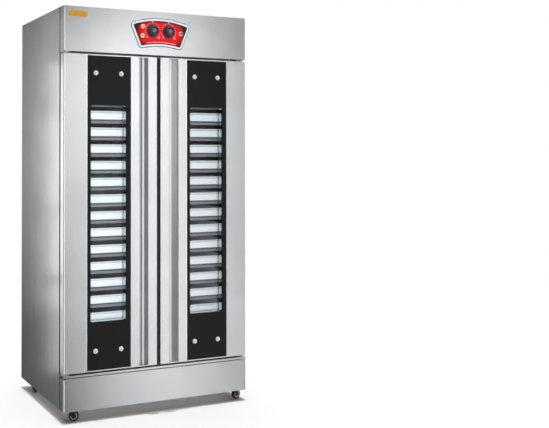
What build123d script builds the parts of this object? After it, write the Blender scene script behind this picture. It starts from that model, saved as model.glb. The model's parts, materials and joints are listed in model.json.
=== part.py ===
"""Two-door dough proofer: insulated stainless cabinet on castors, 26 trays in two columns.

Frame: +Z up, front faces -Y, origin on the floor at the centre of the bounding box.
Lengths are in millimetres.  Sizes along the front are counted from the cabinet's
centre line; "depth" is counted back from the doors' front plane.
"""

from build123d import *

import os
from math import atan2, cos, degrees, radians, sin

# ----------------------------------------------------------------- driving sizes
# Cabinet outside
cabinet_width = 1000
cabinet_depth = 735
cabinet_height = 2000
floor_clearance = 55
sheet = 1.2
wall = 40
edge_bend = 4
side_return = 20
roof_rim = 25
slab_joint = 0.5

# Front, from the bottom up
kick_height = 158
kick_hem = 12
sill_seam = 4
sill_height = 10
sill_gap = 9
header_height = 218
header_gap = 11

# Doors
meeting_gap = 16
door_thickness = 45
hinge_stile = 117
meeting_strip = 49
inner_strip = 44
handle_opening = 53
panel_end_strip = 5
panel_thickness = 4
panel_lap = 4
window_side = 21.5
window_below = 238
window_above = 246
window_radius = 9
pane_thickness = 4
pane_lap = 10
gasket_thickness = 6
gasket_width = 14
gasket_inset = 12
gasket_hinge_inset = 24
gasket_radius = 10
seal_clearance = 0.3
seal_reach = 13.5
seal_inset = 6

# Handle extrusion
handle_depth = 28
handle_undercut = 14
handle_wall = 2
handle_end = 4
handle_lip = 4
handle_fillet = 9

# Panel studs
stud_radius = 12.5
stud_height = 7
stud_spread = 66.5
stud_top_margin = 90
stud_bottom_margin = 97
stud_shank = 4
stud_hole_gap = 0.3

# Pivots
pivot_inset = 15
pivot_depth = 22
pivot_pin = 6
pivot_length = 20
pivot_plate = 5
pivot_shoulder = 10
bearing_gap = 0.05
end_gap = 0.3
bracket_width = 36

# Trays and rack
tray_levels = 13
spare_levels = 1
tray_height = 50
tray_rim = 8
tray_wall = 1.5
tray_taper = 5
tray_side_gap = 15
tray_setback = 25
tray_rear_gap = 18.7
tray_sill_drop = 19
tray_head_drop = 24
ledge_reach = 15
post_width = 30
post_depth = 15
post_inset = 60
runner_height = 18
runner_margin = 10
bar_size = 12
bar_setback = 24

# Humidifier and lamp
pan_width = 420
pan_length = 300
pan_height = 55
pan_radius = 20
heater_radius = 5
heater_width = 90
heater_reach = 250
heater_bend = 22
heater_lift = 14
lamp_radius = 55
lamp_height = 38

# Controls
panel_offset = 10
panel_top_half = 150
panel_foot_half = 107
panel_foot_drop = 174
panel_shoulder_drop = 69
panel_top_rise = 24
panel_foot_rise = 12.6
panel_corner = 6
plate_thickness = 2
bezel_width = 10
bezel_height = 6
bezel_bevel = 2
knob_radius = 33
knob_projection = 28
knob_spread = 44
knob_drop = 28
knob_skirt = 6
knob_draft = 8
knob_tab = 6
grip_inset = 5
cap_radius = 11.4
cap_recess = 2
flutes = 12
flute_radius = 3.5
flute_offset = 2
spindle_radius = 3
spindle_length = 30
control_size = 42
control_depth = 30
lamp_drop = 7
lamp_offset = -97
ready_drop = 54
ready_offset = -99
lens_radius = 10.5
lens_height = 3
lens_bevel = 1.5
lens_collar = 7
button_drop = 34
button_offset = 113
button_radius = 7
button_ring = 10.5
button_ring_height = 3
button_ring_wall = 1
button_proud = 1
button_bevel = 1
button_travel = 3
button_gap = 0.4
fitting_length = 26

# Cord gland
gland_projection = 16
gland_radius = 14
gland_bore = 5
gland_flange = 3
gland_shank = 10
gland_inset = 120
gland_drop = 110

# Castors
castor_inset = 49
castor_front_setback = 48
castor_rear_setback = 110
castor_turn_front_left = -19
castor_turn_front_right = 17
castor_turn_rear_left = 250
castor_turn_rear_right = 200
castor_height = 75
castor_trail = 20
castor_plate = 56
castor_plate_thickness = 2.5
castor_cup = 23
castor_foot = 56
kingpin_radius = 6
kingpin_head = 9
kingpin_head_height = 3.4
fork_sheet = 2.5
fork_head = 24
fork_shoulder = 17
fork_toe = 9
axle_radius = 4
axle_head = 6.5
axle_head_height = 2.5
wheel_radius = 25
wheel_width = 20
wheel_side_gap = 1.2
tyre_shoulder = 4
hub_radius = 17
hub_setback = 1
hub_rim = 3
hub_dish = 4

# ----------------------------------------------------------------- places
half_width = cabinet_width / 2
front_y = (knob_projection - gland_projection - cabinet_depth) / 2
back_y = front_y + cabinet_depth
sill_top = floor_clearance + kick_height + sill_seam + sill_height
door_bottom = sill_top + sill_gap
header_bottom = cabinet_height - header_height
door_top = header_bottom - header_gap
door_height = door_top - door_bottom
door_width = (cabinet_width - meeting_gap) / 2
door_back_y = front_y + door_thickness
carcass_y = door_back_y + gasket_thickness + seal_clearance

chamber_half = half_width - wall
chamber_floor = sill_top + wall
chamber_ceiling = header_bottom - wall
chamber_back_y = back_y - wall

# The left door, in the cabinet's frame
hinge_edge = -half_width
meeting_edge = -meeting_gap / 2
door_x = (hinge_edge + meeting_edge) / 2
door_z = (door_bottom + door_top) / 2
panel_left = hinge_edge + hinge_stile
handle_right = meeting_edge - meeting_strip
handle_left = handle_right - handle_opening
panel_right = handle_left - inner_strip
panel_x = (panel_left + panel_right) / 2
panel_width = panel_right - panel_left
panel_height = door_height - 2 * panel_end_strip
window_width = panel_width - 2 * window_side
window_bottom = door_bottom + window_below
window_top = door_top - window_above
window_height = window_top - window_bottom
window_z = (window_bottom + window_top) / 2
pane_width = window_width + 2 * pane_lap
pane_height = window_height + 2 * pane_lap
panel_back_y = front_y + sheet + panel_thickness
liner_y = door_back_y - sheet
pivot_x = hinge_edge + pivot_inset
pivot_y = front_y + pivot_depth

# The rack's posts, and the trays between them, level with the windows
post_face = chamber_half - post_depth
centre_post_half = post_depth
column_offset = (post_face + centre_post_half) / 2
tray_width = post_face - centre_post_half - 2 * tray_side_gap
tray_front_y = carcass_y + tray_setback
tray_length = chamber_back_y - tray_rear_gap - tray_front_y
tray_y = tray_front_y + tray_length / 2
first_tray = window_bottom - tray_sill_drop
last_tray = window_top - tray_head_drop - tray_height
tray_pitch = (last_tray - first_tray) / (tray_levels - 1)
tray_floors = [first_tray + level * tray_pitch for level in range(tray_levels)]
rack_floors = [first_tray + level * tray_pitch for level in range(tray_levels + spare_levels)]
tray_base_half = tray_width / 2 - tray_rim - tray_taper

# The control panel hangs below the roof and its fittings below its shoulders
panel_centre = panel_offset
panel_foot = cabinet_height - panel_foot_drop
panel_shoulder = cabinet_height - panel_shoulder_drop
knob_level = panel_shoulder - knob_drop
lamp_level = panel_shoulder - lamp_drop
ready_level = panel_shoulder - ready_drop
button_level = panel_shoulder - button_drop
gland_level = cabinet_height - gland_drop

os.makedirs("parts", exist_ok=True)


def front_plane(x, y, z):
    """A sketching plane that faces the viewer: its X runs right and its Y runs up."""
    return Plane(origin=(x, y, z), x_dir=(1, 0, 0), z_dir=(0, -1, 0))


def save(part, name):
    """Label one piece and write it as its own STEP file."""
    part.label = name
    export_step(part, f"parts/{name}.step")


def save_pair(part, name):
    """Write a left-hand piece and its mirror image for the right-hand side."""
    save(part, f"{name}_left")
    with BuildPart() as twin:
        mirror(part, about=Plane.YZ)
    save(twin.part, f"{name}_right")


# ----------------------------------------------------------------- cabinet shell
# Side panel: a folded sheet with a return along the front and one along the back.
with BuildPart() as side_panel:
    with BuildSketch(Plane.XY.offset(floor_clearance)):
        with BuildLine():
            FilletPolyline(
                (-half_width + side_return, carcass_y),
                (-half_width, carcass_y),
                (-half_width, back_y),
                (-half_width + side_return, back_y),
                radius=edge_bend,
            )
            offset(amount=sheet, side=Side.RIGHT)
        make_face()
    extrude(amount=cabinet_height - sheet - floor_clearance)
save_pair(side_panel.part, "side_panel")

# Back panel, set between the side panels' rear returns.
back_width = cabinet_width - 2 * side_return
with BuildPart() as back_panel:
    with BuildSketch(front_plane(0, back_y - sheet, 0)):
        with Locations((0, (floor_clearance + cabinet_height - sheet) / 2)):
            Rectangle(back_width, cabinet_height - sheet - floor_clearance)
        with Locations((half_width - gland_inset, gland_level)):
            Circle(gland_shank + end_gap, mode=Mode.SUBTRACT)
    extrude(amount=-sheet)
save(back_panel.part, "back_panel")

# Roof: a shallow lid whose rim hangs inside the side panels.
roof_depth = back_y - carcass_y
with BuildPart() as roof_panel:
    with BuildSketch(Plane.XY.offset(cabinet_height - sheet)):
        with Locations((0, (carcass_y + back_y) / 2)):
            RectangleRounded(cabinet_width, roof_depth, edge_bend)
    extrude(amount=sheet)
    with BuildSketch(Plane.XY.offset(cabinet_height - sheet)):
        with Locations((0, (carcass_y + back_y) / 2)):
            RectangleRounded(cabinet_width - 2 * sheet, roof_depth - 2 * sheet, edge_bend)
            offset(amount=-sheet, mode=Mode.SUBTRACT)
    extrude(amount=-roof_rim)
save(roof_panel.part, "roof_panel")

# Base pan: carries the castors below and the insulated floor on its long flanges; a ledge
# in front of it takes the front castors inside the kick panel.
base_half = half_width - edge_bend
ledge_front_y = front_y + edge_bend + sheet
with BuildPart() as base_pan:
    with BuildSketch(Plane.YZ.offset(-base_half)):
        with BuildLine():
            Polyline(
                (carcass_y + sheet, sill_top),
                (carcass_y + sheet, castor_height),
                (back_y - sheet, castor_height),
                (back_y - sheet, sill_top),
            )
            offset(amount=sheet, side=Side.LEFT)
        make_face()
    extrude(amount=2 * base_half)
    with BuildSketch(Plane.XY.offset(castor_height)):
        with Locations((0, ledge_front_y)):
            Rectangle(
                2 * (base_half - side_return),
                carcass_y + 2 * sheet - ledge_front_y,
                align=(Align.CENTER, Align.MIN),
            )
    extrude(amount=sheet)
save(base_pan.part, "base_pan")

# Kick panel: a front sheet with side and top returns and a narrow hem over the castors.
with BuildPart() as kick_panel:
    with BuildSketch(front_plane(0, front_y, floor_clearance + kick_height / 2)):
        Rectangle(cabinet_width, kick_height)
    extrude(amount=-(carcass_y - front_y))
    fillet(kick_panel.edges().filter_by(Axis.Z).group_by(Axis.Y)[0], edge_bend)
    offset(amount=-sheet, openings=kick_panel.faces().sort_by(Axis.Y)[-1])
    with BuildSketch(Plane.XY.offset(floor_clearance)):
        with Locations((0, front_y + kick_hem)):
            Rectangle(
                cabinet_width - 2 * sheet,
                carcass_y - front_y,
                align=(Align.CENTER, Align.MIN),
            )
    extrude(amount=sheet, mode=Mode.SUBTRACT)
save(kick_panel.part, "kick_panel")

# Door sill: a hollow ledge that closes the top of the kick panel.
with BuildPart() as door_sill:
    with BuildSketch(Plane.YZ.offset(-half_width)):
        with BuildLine():
            Polyline(
                (carcass_y, sill_top),
                (front_y, sill_top),
                (front_y, sill_top - sill_height),
                (carcass_y, sill_top - sill_height),
            )
            offset(amount=sheet, side=Side.LEFT)
        make_face()
    extrude(amount=cabinet_width)
save(door_sill.part, "door_sill")

# Header: a folded box over the doors, open to the rear, with holes for the controls.
header_z = header_bottom + header_height / 2
header_holes = [
    (-knob_spread, knob_level, spindle_radius + button_gap),
    (knob_spread, knob_level, spindle_radius + button_gap),
    (lamp_offset, lamp_level, lens_collar + end_gap),
    (ready_offset, ready_level, lens_collar + end_gap),
    (button_offset, button_level, button_ring - button_ring_wall + end_gap),
]
with BuildPart() as header_fascia:
    with BuildSketch(front_plane(0, front_y, header_z)):
        Rectangle(cabinet_width, header_height)
    extrude(amount=-(carcass_y - front_y))
    fillet(header_fascia.edges().filter_by(Axis.Z).group_by(Axis.Y)[0], edge_bend)
    offset(amount=-sheet, openings=header_fascia.faces().sort_by(Axis.Y)[-1])
    with BuildSketch(front_plane(panel_centre, front_y, 0)):
        for offset_x, level, radius in header_holes:
            with Locations((offset_x, level)):
                Circle(radius)
    extrude(amount=-2 * sheet, mode=Mode.SUBTRACT)
save(header_fascia.part, "header_fascia")

# ----------------------------------------------------------------- insulated chamber
chamber_z = (chamber_floor + chamber_ceiling) / 2
chamber_height = chamber_ceiling - chamber_floor
chamber_depth = chamber_back_y - carcass_y
flange_half = half_width - side_return

# Liner: a five-sided box with a flange that faces the door gaskets.
with BuildPart() as chamber_liner:
    with BuildSketch(front_plane(0, carcass_y, chamber_z)):
        Rectangle(2 * chamber_half + 2 * sheet, chamber_height + 2 * sheet)
    extrude(amount=-(chamber_depth + sheet))
    with BuildSketch(front_plane(0, carcass_y, (sill_top + header_bottom) / 2)):
        Rectangle(2 * flange_half, header_bottom - sill_top)
    extrude(amount=-sheet)
    with BuildSketch(front_plane(0, carcass_y, chamber_z)):
        Rectangle(2 * chamber_half, chamber_height)
    extrude(amount=-chamber_depth, mode=Mode.SUBTRACT)
save(chamber_liner.part, "chamber_liner")

# Insulation: five slabs between the liner and the outer sheets.
slab = wall - 2 * sheet
slab_length = back_y - carcass_y - 2 * edge_bend
slab_y = carcass_y + edge_bend + slab_length / 2
slab_inside = chamber_half + sheet
cross_slab_width = 2 * (slab_inside - slab_joint)
cross_slab = wall - sheet
cross_slab_length = back_y - carcass_y - 2 * sheet - slab - slab_joint
with BuildPart() as insulation:
    for side in (-1, 1):
        with Locations((side * (slab_inside + slab / 2), slab_y, (sill_top + header_bottom) / 2)):
            Box(slab, slab_length, header_bottom - sill_top)
    for level in (sill_top + cross_slab / 2, header_bottom - cross_slab / 2):
        with Locations((0, carcass_y + sheet + cross_slab_length / 2, level)):
            Box(cross_slab_width, cross_slab_length, cross_slab)
    with Locations((0, back_y - sheet - slab / 2, (sill_top + header_bottom) / 2)):
        Box(cross_slab_width, slab, header_bottom - sill_top)
save(insulation.part, "insulation")

# ----------------------------------------------------------------- rack and trays
post_rows = [tray_front_y + post_inset, tray_front_y + tray_length - post_inset]
runner_length = tray_length + 2 * runner_margin

# Posts: channels on both walls and back-to-back pairs on the centre line.
with BuildPart() as rack_posts:
    with BuildSketch(Plane.XY.offset(chamber_floor)):
        for row in post_rows:
            for side in (-1, 1):
                with Locations((side * (chamber_half - post_depth / 2), row)):
                    Rectangle(post_depth, post_width)
                with Locations((side * (chamber_half - post_depth / 2 - sheet), row)):
                    Rectangle(post_depth, post_width - 2 * sheet, mode=Mode.SUBTRACT)
            with Locations((0, row)):
                Rectangle(2 * centre_post_half, post_width)
                Rectangle(2 * (centre_post_half - sheet), post_width - 2 * sheet, mode=Mode.SUBTRACT)
    extrude(amount=chamber_height)
save(rack_posts.part, "rack_posts")


# Runners: two angles carry each tray, an upright web on the posts and a ledge under the tray.
bearing_half = tray_base_half - ledge_reach
with BuildPart() as tray_runners:
    with BuildSketch(front_plane(0, tray_front_y - runner_margin, 0)):
        for side in (-1, 1):
            outer_ledge = post_face - column_offset - bearing_half
            inner_ledge = column_offset - bearing_half - centre_post_half
            for floor_z in rack_floors:
                with Locations((side * (post_face - outer_ledge / 2), floor_z - sheet / 2)):
                    Rectangle(outer_ledge, sheet)
                with Locations((side * (post_face - sheet / 2), floor_z + runner_height / 2)):
                    Rectangle(sheet, runner_height)
                with Locations((side * (centre_post_half + inner_ledge / 2), floor_z - sheet / 2)):
                    Rectangle(inner_ledge, sheet)
                with Locations((side * (centre_post_half + sheet / 2), floor_z + runner_height / 2)):
                    Rectangle(sheet, runner_height)
    extrude(amount=-runner_length)
save(tray_runners.part, "tray_runners")

# Cross bars: two at each level, between the runners' ledges.
bar_rows = [tray_front_y + bar_setback, tray_front_y + tray_length - bar_setback]
with BuildPart() as cross_bars:
    for side in (-1, 1):
        for floor_z in rack_floors:
            for row in bar_rows:
                with Locations((side * column_offset, row, floor_z - bar_size / 2)):
                    Box(2 * bearing_half, bar_size, bar_size)
save(cross_bars.part, "cross_bars")

# Tray: a tapered pan with folded corners and a flat rim clipped at its corners.
draft = -degrees(atan2(tray_taper, tray_height))
tray_base_length = tray_length - 2 * tray_rim - 2 * tray_taper
with BuildPart() as tray:
    with BuildSketch():
        Rectangle(2 * tray_base_half, tray_base_length)
    extrude(amount=tray_height, taper=draft)
    with BuildSketch(Plane.XY.offset(tray_height - tray_wall)) as rim:
        Rectangle(tray_width, tray_length)
        chamfer(rim.vertices(), tray_rim)
    extrude(amount=tray_wall)
    with BuildSketch(Plane.XY.offset(tray_wall)):
        Rectangle(2 * (tray_base_half - tray_wall), tray_base_length - 2 * tray_wall)
    extrude(amount=tray_height - tray_wall, taper=draft, mode=Mode.SUBTRACT)

with BuildPart() as trays:
    with Locations(*[(-column_offset, tray_y, floor_z) for floor_z in tray_floors]):
        add(tray.part)
save_pair(trays.part, "trays")

# ----------------------------------------------------------------- humidifier and lamp
pan_y = (carcass_y + chamber_back_y) / 2
with BuildPart() as water_pan:
    with BuildSketch(Plane.XY.offset(chamber_floor)):
        with Locations((0, pan_y)):
            RectangleRounded(pan_width, pan_length, pan_radius)
    extrude(amount=pan_height)
    offset(amount=-tray_wall, openings=water_pan.faces().sort_by(Axis.Z)[-1])
    with BuildSketch(front_plane(0, pan_y + pan_length / 2, chamber_floor + heater_lift)):
        with Locations((-heater_width / 2, 0), (heater_width / 2, 0)):
            Circle(heater_radius + bearing_gap)
    extrude(amount=2 * tray_wall, mode=Mode.SUBTRACT)
save(water_pan.part, "water_pan")

# Heater: a tubular hairpin from the rear wall, through the pan's end and under the water.
heater_level = chamber_floor + heater_lift
heater_tip_y = pan_y + pan_length / 2 - heater_reach
half_spacing = heater_width / 2
with BuildPart() as heater_element:
    with BuildLine():
        FilletPolyline(
            (-half_spacing, chamber_back_y, heater_level),
            (-half_spacing, heater_tip_y, heater_level),
            (half_spacing, heater_tip_y, heater_level),
            (half_spacing, chamber_back_y, heater_level),
            radius=heater_bend,
        )
    with BuildSketch(front_plane(-half_spacing, chamber_back_y, heater_level)):
        Circle(heater_radius)
    sweep()
save(heater_element.part, "heater_element")

# Chamber lamp: a round lens with a bevelled edge under the ceiling.
with BuildPart() as chamber_lamp:
    with BuildSketch(Plane.XY.offset(chamber_ceiling)):
        with Locations((0, pan_y)):
            Circle(lamp_radius)
    extrude(amount=-lamp_height)
    chamfer(chamber_lamp.edges().group_by(Axis.Z)[0], lamp_height / 2)
save(chamber_lamp.part, "chamber_lamp")

# ----------------------------------------------------------------- doors
# The left door's pieces are drawn and the right door mirrors them.
slot_bottom = door_bottom + handle_end
slot_height = door_height - 2 * handle_end
handle_x = (handle_left + handle_right) / 2
pin_hole = pivot_pin + bearing_gap
bore_depth = pivot_length + end_gap
pivot_bores = [(door_bottom, bore_depth), (door_top, -bore_depth)]

# Outer skin: a pan with a window for the black panel and a slot for the handle.
with BuildPart() as door_skin:
    with BuildSketch(front_plane(door_x, front_y, door_z)):
        Rectangle(door_width, door_height)
    extrude(amount=-door_thickness)
    fillet(door_skin.edges().filter_by(Axis.Z).group_by(Axis.Y)[0], edge_bend)
    offset(amount=-sheet, openings=door_skin.faces().sort_by(Axis.Y)[-1])
    with BuildSketch(front_plane(0, front_y, door_z)):
        with Locations((panel_x, 0)):
            Rectangle(panel_width, panel_height)
        with Locations((handle_x, 0)):
            Rectangle(handle_opening, slot_height)
    extrude(amount=-2 * sheet, mode=Mode.SUBTRACT)
    for level, depth in pivot_bores:
        with BuildSketch(Plane.XY.offset(level)):
            with Locations((pivot_x, pivot_y)):
                Circle(pin_hole)
        extrude(amount=depth, mode=Mode.SUBTRACT)
save_pair(door_skin.part, "door_skin")

# Handle: an extruded trough with a ramp on one side and an undercut finger grip on the other.
with BuildSketch() as handle_cavity:
    with BuildLine():
        Polyline(
            (handle_left, front_y - handle_lip),
            (handle_left, front_y + handle_lip),
            (handle_right - handle_fillet, front_y + handle_depth),
            (handle_right + handle_undercut, front_y + handle_depth),
            (handle_right + handle_undercut, front_y + handle_lip),
            (handle_right, front_y + handle_lip),
            (handle_right, front_y - handle_lip),
            close=True,
        )
    make_face()
    fillet(handle_cavity.vertices().group_by(Axis.Y)[-1], handle_fillet)

with BuildPart() as handle_profile:
    with BuildSketch(Plane.XY.offset(slot_bottom - handle_wall)):
        add(handle_cavity.sketch)
        offset(amount=handle_wall, kind=Kind.INTERSECTION)
        with Locations((handle_x, front_y + sheet)):
            Rectangle(
                2 * door_width, 2 * handle_depth, align=(Align.CENTER, Align.MAX), mode=Mode.SUBTRACT
            )
    extrude(amount=slot_height + 2 * handle_wall)
    with BuildSketch(Plane.XY.offset(slot_bottom)):
        add(handle_cavity.sketch)
    extrude(amount=slot_height, mode=Mode.SUBTRACT)
save_pair(handle_profile.part, "handle_profile")

# Black glass panel behind the skin, with the window's opening and the studs' holes, and the
# black spacer frame that keeps the two panes apart.
spacer_front_y = panel_back_y + pane_thickness
spacer_depth = liner_y - pane_thickness - spacer_front_y
stud_levels = [door_bottom + stud_bottom_margin, door_top - stud_top_margin]
stud_places = [(panel_x + side * stud_spread, level) for side in (-1, 1) for level in stud_levels]
with BuildPart() as door_panel:
    with BuildSketch(front_plane(0, front_y + sheet, 0)):
        with Locations((panel_x, door_z)):
            Rectangle(panel_width + 2 * panel_lap, panel_height)
        with Locations((panel_x, window_z)):
            RectangleRounded(window_width, window_height, window_radius, mode=Mode.SUBTRACT)
        with Locations(*stud_places):
            Circle(stud_shank + stud_hole_gap, mode=Mode.SUBTRACT)
    extrude(amount=-panel_thickness)
    with BuildSketch(front_plane(panel_x, spacer_front_y, window_z)):
        Rectangle(pane_width, pane_height)
        RectangleRounded(window_width, window_height, window_radius, mode=Mode.SUBTRACT)
    extrude(amount=-spacer_depth)
save_pair(door_panel.part, "door_panel")

# Chrome studs: bevelled caps on shanks that pass through the panel.
with BuildPart() as stud:
    with BuildSketch():
        Circle(stud_radius)
    extrude(amount=-stud_height)
    chamfer(stud.edges().group_by(Axis.Z)[0], stud_height / 2)
    with BuildSketch():
        Circle(stud_shank)
    extrude(amount=panel_thickness)
with BuildPart() as panel_studs:
    with Locations(
        *[
            Location(Plane(origin=(x, front_y + sheet, z), x_dir=(1, 0, 0), z_dir=(0, 1, 0)))
            for x, z in stud_places
        ]
    ):
        add(stud.part)
save_pair(panel_studs.part, "panel_studs")

# Double glazing: an outer pane behind the panel and an inner pane at the liner.
with BuildPart() as door_glazing:
    for pane_y in (panel_back_y, liner_y - pane_thickness):
        with BuildSketch(front_plane(panel_x, pane_y, window_z)):
            Rectangle(pane_width, pane_height)
        extrude(amount=-pane_thickness)
save_pair(door_glazing.part, "door_glazing")

# Liner: the door's inner sheet.
with BuildPart() as door_liner:
    with BuildSketch(front_plane(0, liner_y, 0)):
        with Locations((door_x, door_z)):
            Rectangle(door_width - 2 * sheet, door_height - 2 * sheet)
        with Locations((panel_x, window_z)):
            RectangleRounded(window_width, window_height, window_radius, mode=Mode.SUBTRACT)
    extrude(amount=-sheet)
save_pair(door_liner.part, "door_liner")

# Infill: foam slabs cut round the glazing, the panel, the handle and the pivots.
inner_bottom = door_bottom + sheet
inner_top = door_top - sheet
pane_left = panel_x - pane_width / 2
pane_right = panel_x + pane_width / 2
pane_bottom = window_z - pane_height / 2
pane_top = window_z + pane_height / 2
trough_left = handle_left - handle_wall
trough_right = handle_right + handle_undercut + handle_wall
trough_back_y = front_y + handle_depth + handle_wall


def foam_slab(left, right, bottom, top, near_y=front_y + sheet):
    """Add one slab of the door's infill between its front and the liner."""
    with Locations(((left + right) / 2, (near_y + liner_y) / 2, (bottom + top) / 2)):
        Box(right - left, liner_y - near_y, top - bottom)


with BuildPart() as door_infill:
    foam_slab(hinge_edge + sheet, pane_left, inner_bottom, inner_top)
    foam_slab(pane_left + slab_joint, pane_right, inner_bottom, pane_bottom)
    foam_slab(pane_left + slab_joint, pane_right, pane_top, inner_top)
    foam_slab(pane_right + slab_joint, trough_left, inner_bottom, inner_top)
    foam_slab(trough_left + slab_joint, trough_right, inner_bottom, inner_top, trough_back_y)
    foam_slab(trough_right + slab_joint, meeting_edge - sheet, inner_bottom, inner_top)
    with BuildSketch(front_plane(panel_x, front_y, door_z)):
        Rectangle(panel_width + 2 * panel_lap, panel_height)
    extrude(amount=front_y - panel_back_y, mode=Mode.SUBTRACT)
    for level, depth in pivot_bores:
        with BuildSketch(Plane.XY.offset(level)):
            with Locations((pivot_x, pivot_y)):
                Circle(pin_hole)
        extrude(amount=depth, mode=Mode.SUBTRACT)
    corners = door_infill.edges().filter_by(Axis.Z).group_by(Axis.Y)[0].sort_by(Axis.X)
    fillet([corners[0], corners[-1]], edge_bend - sheet)
save_pair(door_infill.part, "door_infill")

# Gasket: a soft ring on the door's liner.
gasket_left = hinge_edge + gasket_hinge_inset
gasket_right = meeting_edge - gasket_inset
with BuildPart() as door_gasket:
    with BuildSketch(front_plane((gasket_left + gasket_right) / 2, door_back_y, door_z)):
        RectangleRounded(gasket_right - gasket_left, door_height - 2 * gasket_inset, gasket_radius)
        offset(amount=-gasket_width, kind=Kind.INTERSECTION, mode=Mode.SUBTRACT)
    extrude(amount=-gasket_thickness)
save_pair(door_gasket.part, "door_gasket")

# Meeting seal: a rubber strip on the left door that covers the gap to the right door.
with BuildPart() as meeting_seal:
    with BuildSketch(Plane.XY.offset(door_bottom + seal_inset)) as seal_section:
        with Locations((meeting_edge + seal_reach / 2, front_y + door_thickness / 2)):
            Rectangle(seal_reach, door_thickness - 2 * seal_inset)
        fillet(seal_section.vertices().group_by(Axis.X)[-1], seal_reach / 3)
    extrude(amount=door_height - 2 * seal_inset)
save(meeting_seal.part, "meeting_seal")

# Hinge brackets: plates on the sill and under the header, each with a shouldered pin.
bracket_left = hinge_edge + sheet
with BuildPart() as hinge_brackets_one_side:
    for base_z, up in ((sill_top, 1), (header_bottom, -1)):
        gap_z = base_z + up * pivot_plate
        door_face_z = door_bottom if up > 0 else door_top
        with BuildSketch(Plane.XY.offset(base_z)):
            with Locations((bracket_left, pivot_y)):
                Rectangle(bracket_width, carcass_y - pivot_y, align=Align.MIN)
            with Locations((pivot_x, pivot_y)):
                Circle(pivot_inset - sheet)
        extrude(amount=up * pivot_plate)
        with BuildSketch(Plane.XY.offset(gap_z)):
            with Locations((pivot_x, pivot_y)):
                Circle(pivot_shoulder)
        extrude(amount=door_face_z - up * end_gap - gap_z)
        with BuildSketch(Plane.XY.offset(gap_z)):
            with Locations((pivot_x, pivot_y)):
                Circle(pivot_pin)
        extrude(amount=door_face_z + up * pivot_length - gap_z)
with BuildPart() as hinge_brackets:
    add(hinge_brackets_one_side.part)
    mirror(hinge_brackets_one_side.part, about=Plane.YZ)
save(hinge_brackets.part, "hinge_brackets")

# ----------------------------------------------------------------- control panel
header_back_y = front_y + sheet

# The fan-shaped outline that the plate and its bezel share.
with BuildSketch() as panel_outline:
    with BuildLine():
        ThreePointArc(
            (-panel_top_half, panel_shoulder),
            (0, panel_shoulder + panel_top_rise),
            (panel_top_half, panel_shoulder),
        )
        Line((panel_top_half, panel_shoulder), (panel_foot_half, panel_foot))
        ThreePointArc(
            (panel_foot_half, panel_foot),
            (0, panel_foot + panel_foot_rise),
            (-panel_foot_half, panel_foot),
        )
        Line((-panel_foot_half, panel_foot), (-panel_top_half, panel_shoulder))
    make_face()
    fillet(panel_outline.vertices(), panel_corner)

with BuildPart() as control_plate:
    with BuildSketch(front_plane(panel_centre, front_y, 0)):
        add(panel_outline.sketch)
        for offset_x, level, radius in header_holes:
            with Locations((offset_x, level)):
                Circle(radius, mode=Mode.SUBTRACT)
    extrude(amount=plate_thickness)
save(control_plate.part, "control_plate")

with BuildPart() as control_bezel:
    with BuildSketch(front_plane(panel_centre, front_y, 0)):
        add(panel_outline.sketch)
        offset(amount=bezel_width, kind=Kind.ARC)
        add(panel_outline.sketch, mode=Mode.SUBTRACT)
    extrude(amount=bezel_height)
    chamfer(control_bezel.faces().sort_by(Axis.Y)[0].edges(), bezel_bevel)
save(control_bezel.part, "control_bezel")

# Knobs: a skirt with a pointer tab, a fluted grip with a recessed face, and a spindle that
# turns in the control behind the header.
plate_y = front_y - plate_thickness
knob_depth = knob_projection - plate_thickness - end_gap
grip_radius = knob_radius - grip_inset
with BuildPart() as knob:
    with BuildSketch(Plane.XY):
        Circle(knob_radius)
        with Locations((0, -knob_radius)):
            Circle(knob_tab)
    extrude(amount=knob_skirt, taper=knob_draft)
    with BuildSketch(Plane.XY):
        Circle(grip_radius)
        with PolarLocations(grip_radius + flute_offset, flutes):
            Circle(flute_radius, mode=Mode.SUBTRACT)
    extrude(amount=knob_depth)
    with BuildSketch(Plane.XY.offset(knob_depth)):
        Circle(cap_radius)
    extrude(amount=-cap_recess, mode=Mode.SUBTRACT)
    with BuildSketch(Plane.XY):
        Circle(spindle_radius)
    extrude(amount=-spindle_length)
for side, name in ((-1, "knob_left"), (1, "knob_right")):
    with BuildPart() as placed_knob:
        with Locations(
            Location(front_plane(panel_centre + side * knob_spread, plate_y - end_gap, knob_level))
        ):
            add(knob.part)
    save(placed_knob.part, name)

# Controls behind the header: one rotary control for each knob.
with BuildPart() as rotary_controls:
    with BuildSketch(front_plane(panel_centre, header_back_y, knob_level)):
        with Locations((-knob_spread, 0), (knob_spread, 0)):
            Rectangle(control_size, control_size)
            Circle(spindle_radius + bearing_gap, mode=Mode.SUBTRACT)
    extrude(amount=-control_depth)
save(rotary_controls.part, "rotary_controls")


def indicator(offset_x, level, name):
    """A round lens with a collar on the plate and a barrel through the header."""
    with BuildPart() as lamp:
        with BuildSketch(front_plane(panel_centre + offset_x, plate_y, level)):
            Circle(lens_radius)
        extrude(amount=lens_height)
        chamfer(lamp.edges().sort_by(Axis.Y)[0], lens_bevel)
        with BuildSketch(front_plane(panel_centre + offset_x, plate_y, level)):
            Circle(lens_collar)
        extrude(amount=-fitting_length)
    save(lamp.part, name)


indicator(lamp_offset, lamp_level, "lamp_heating")
indicator(ready_offset, ready_level, "lamp_ready")

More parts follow.
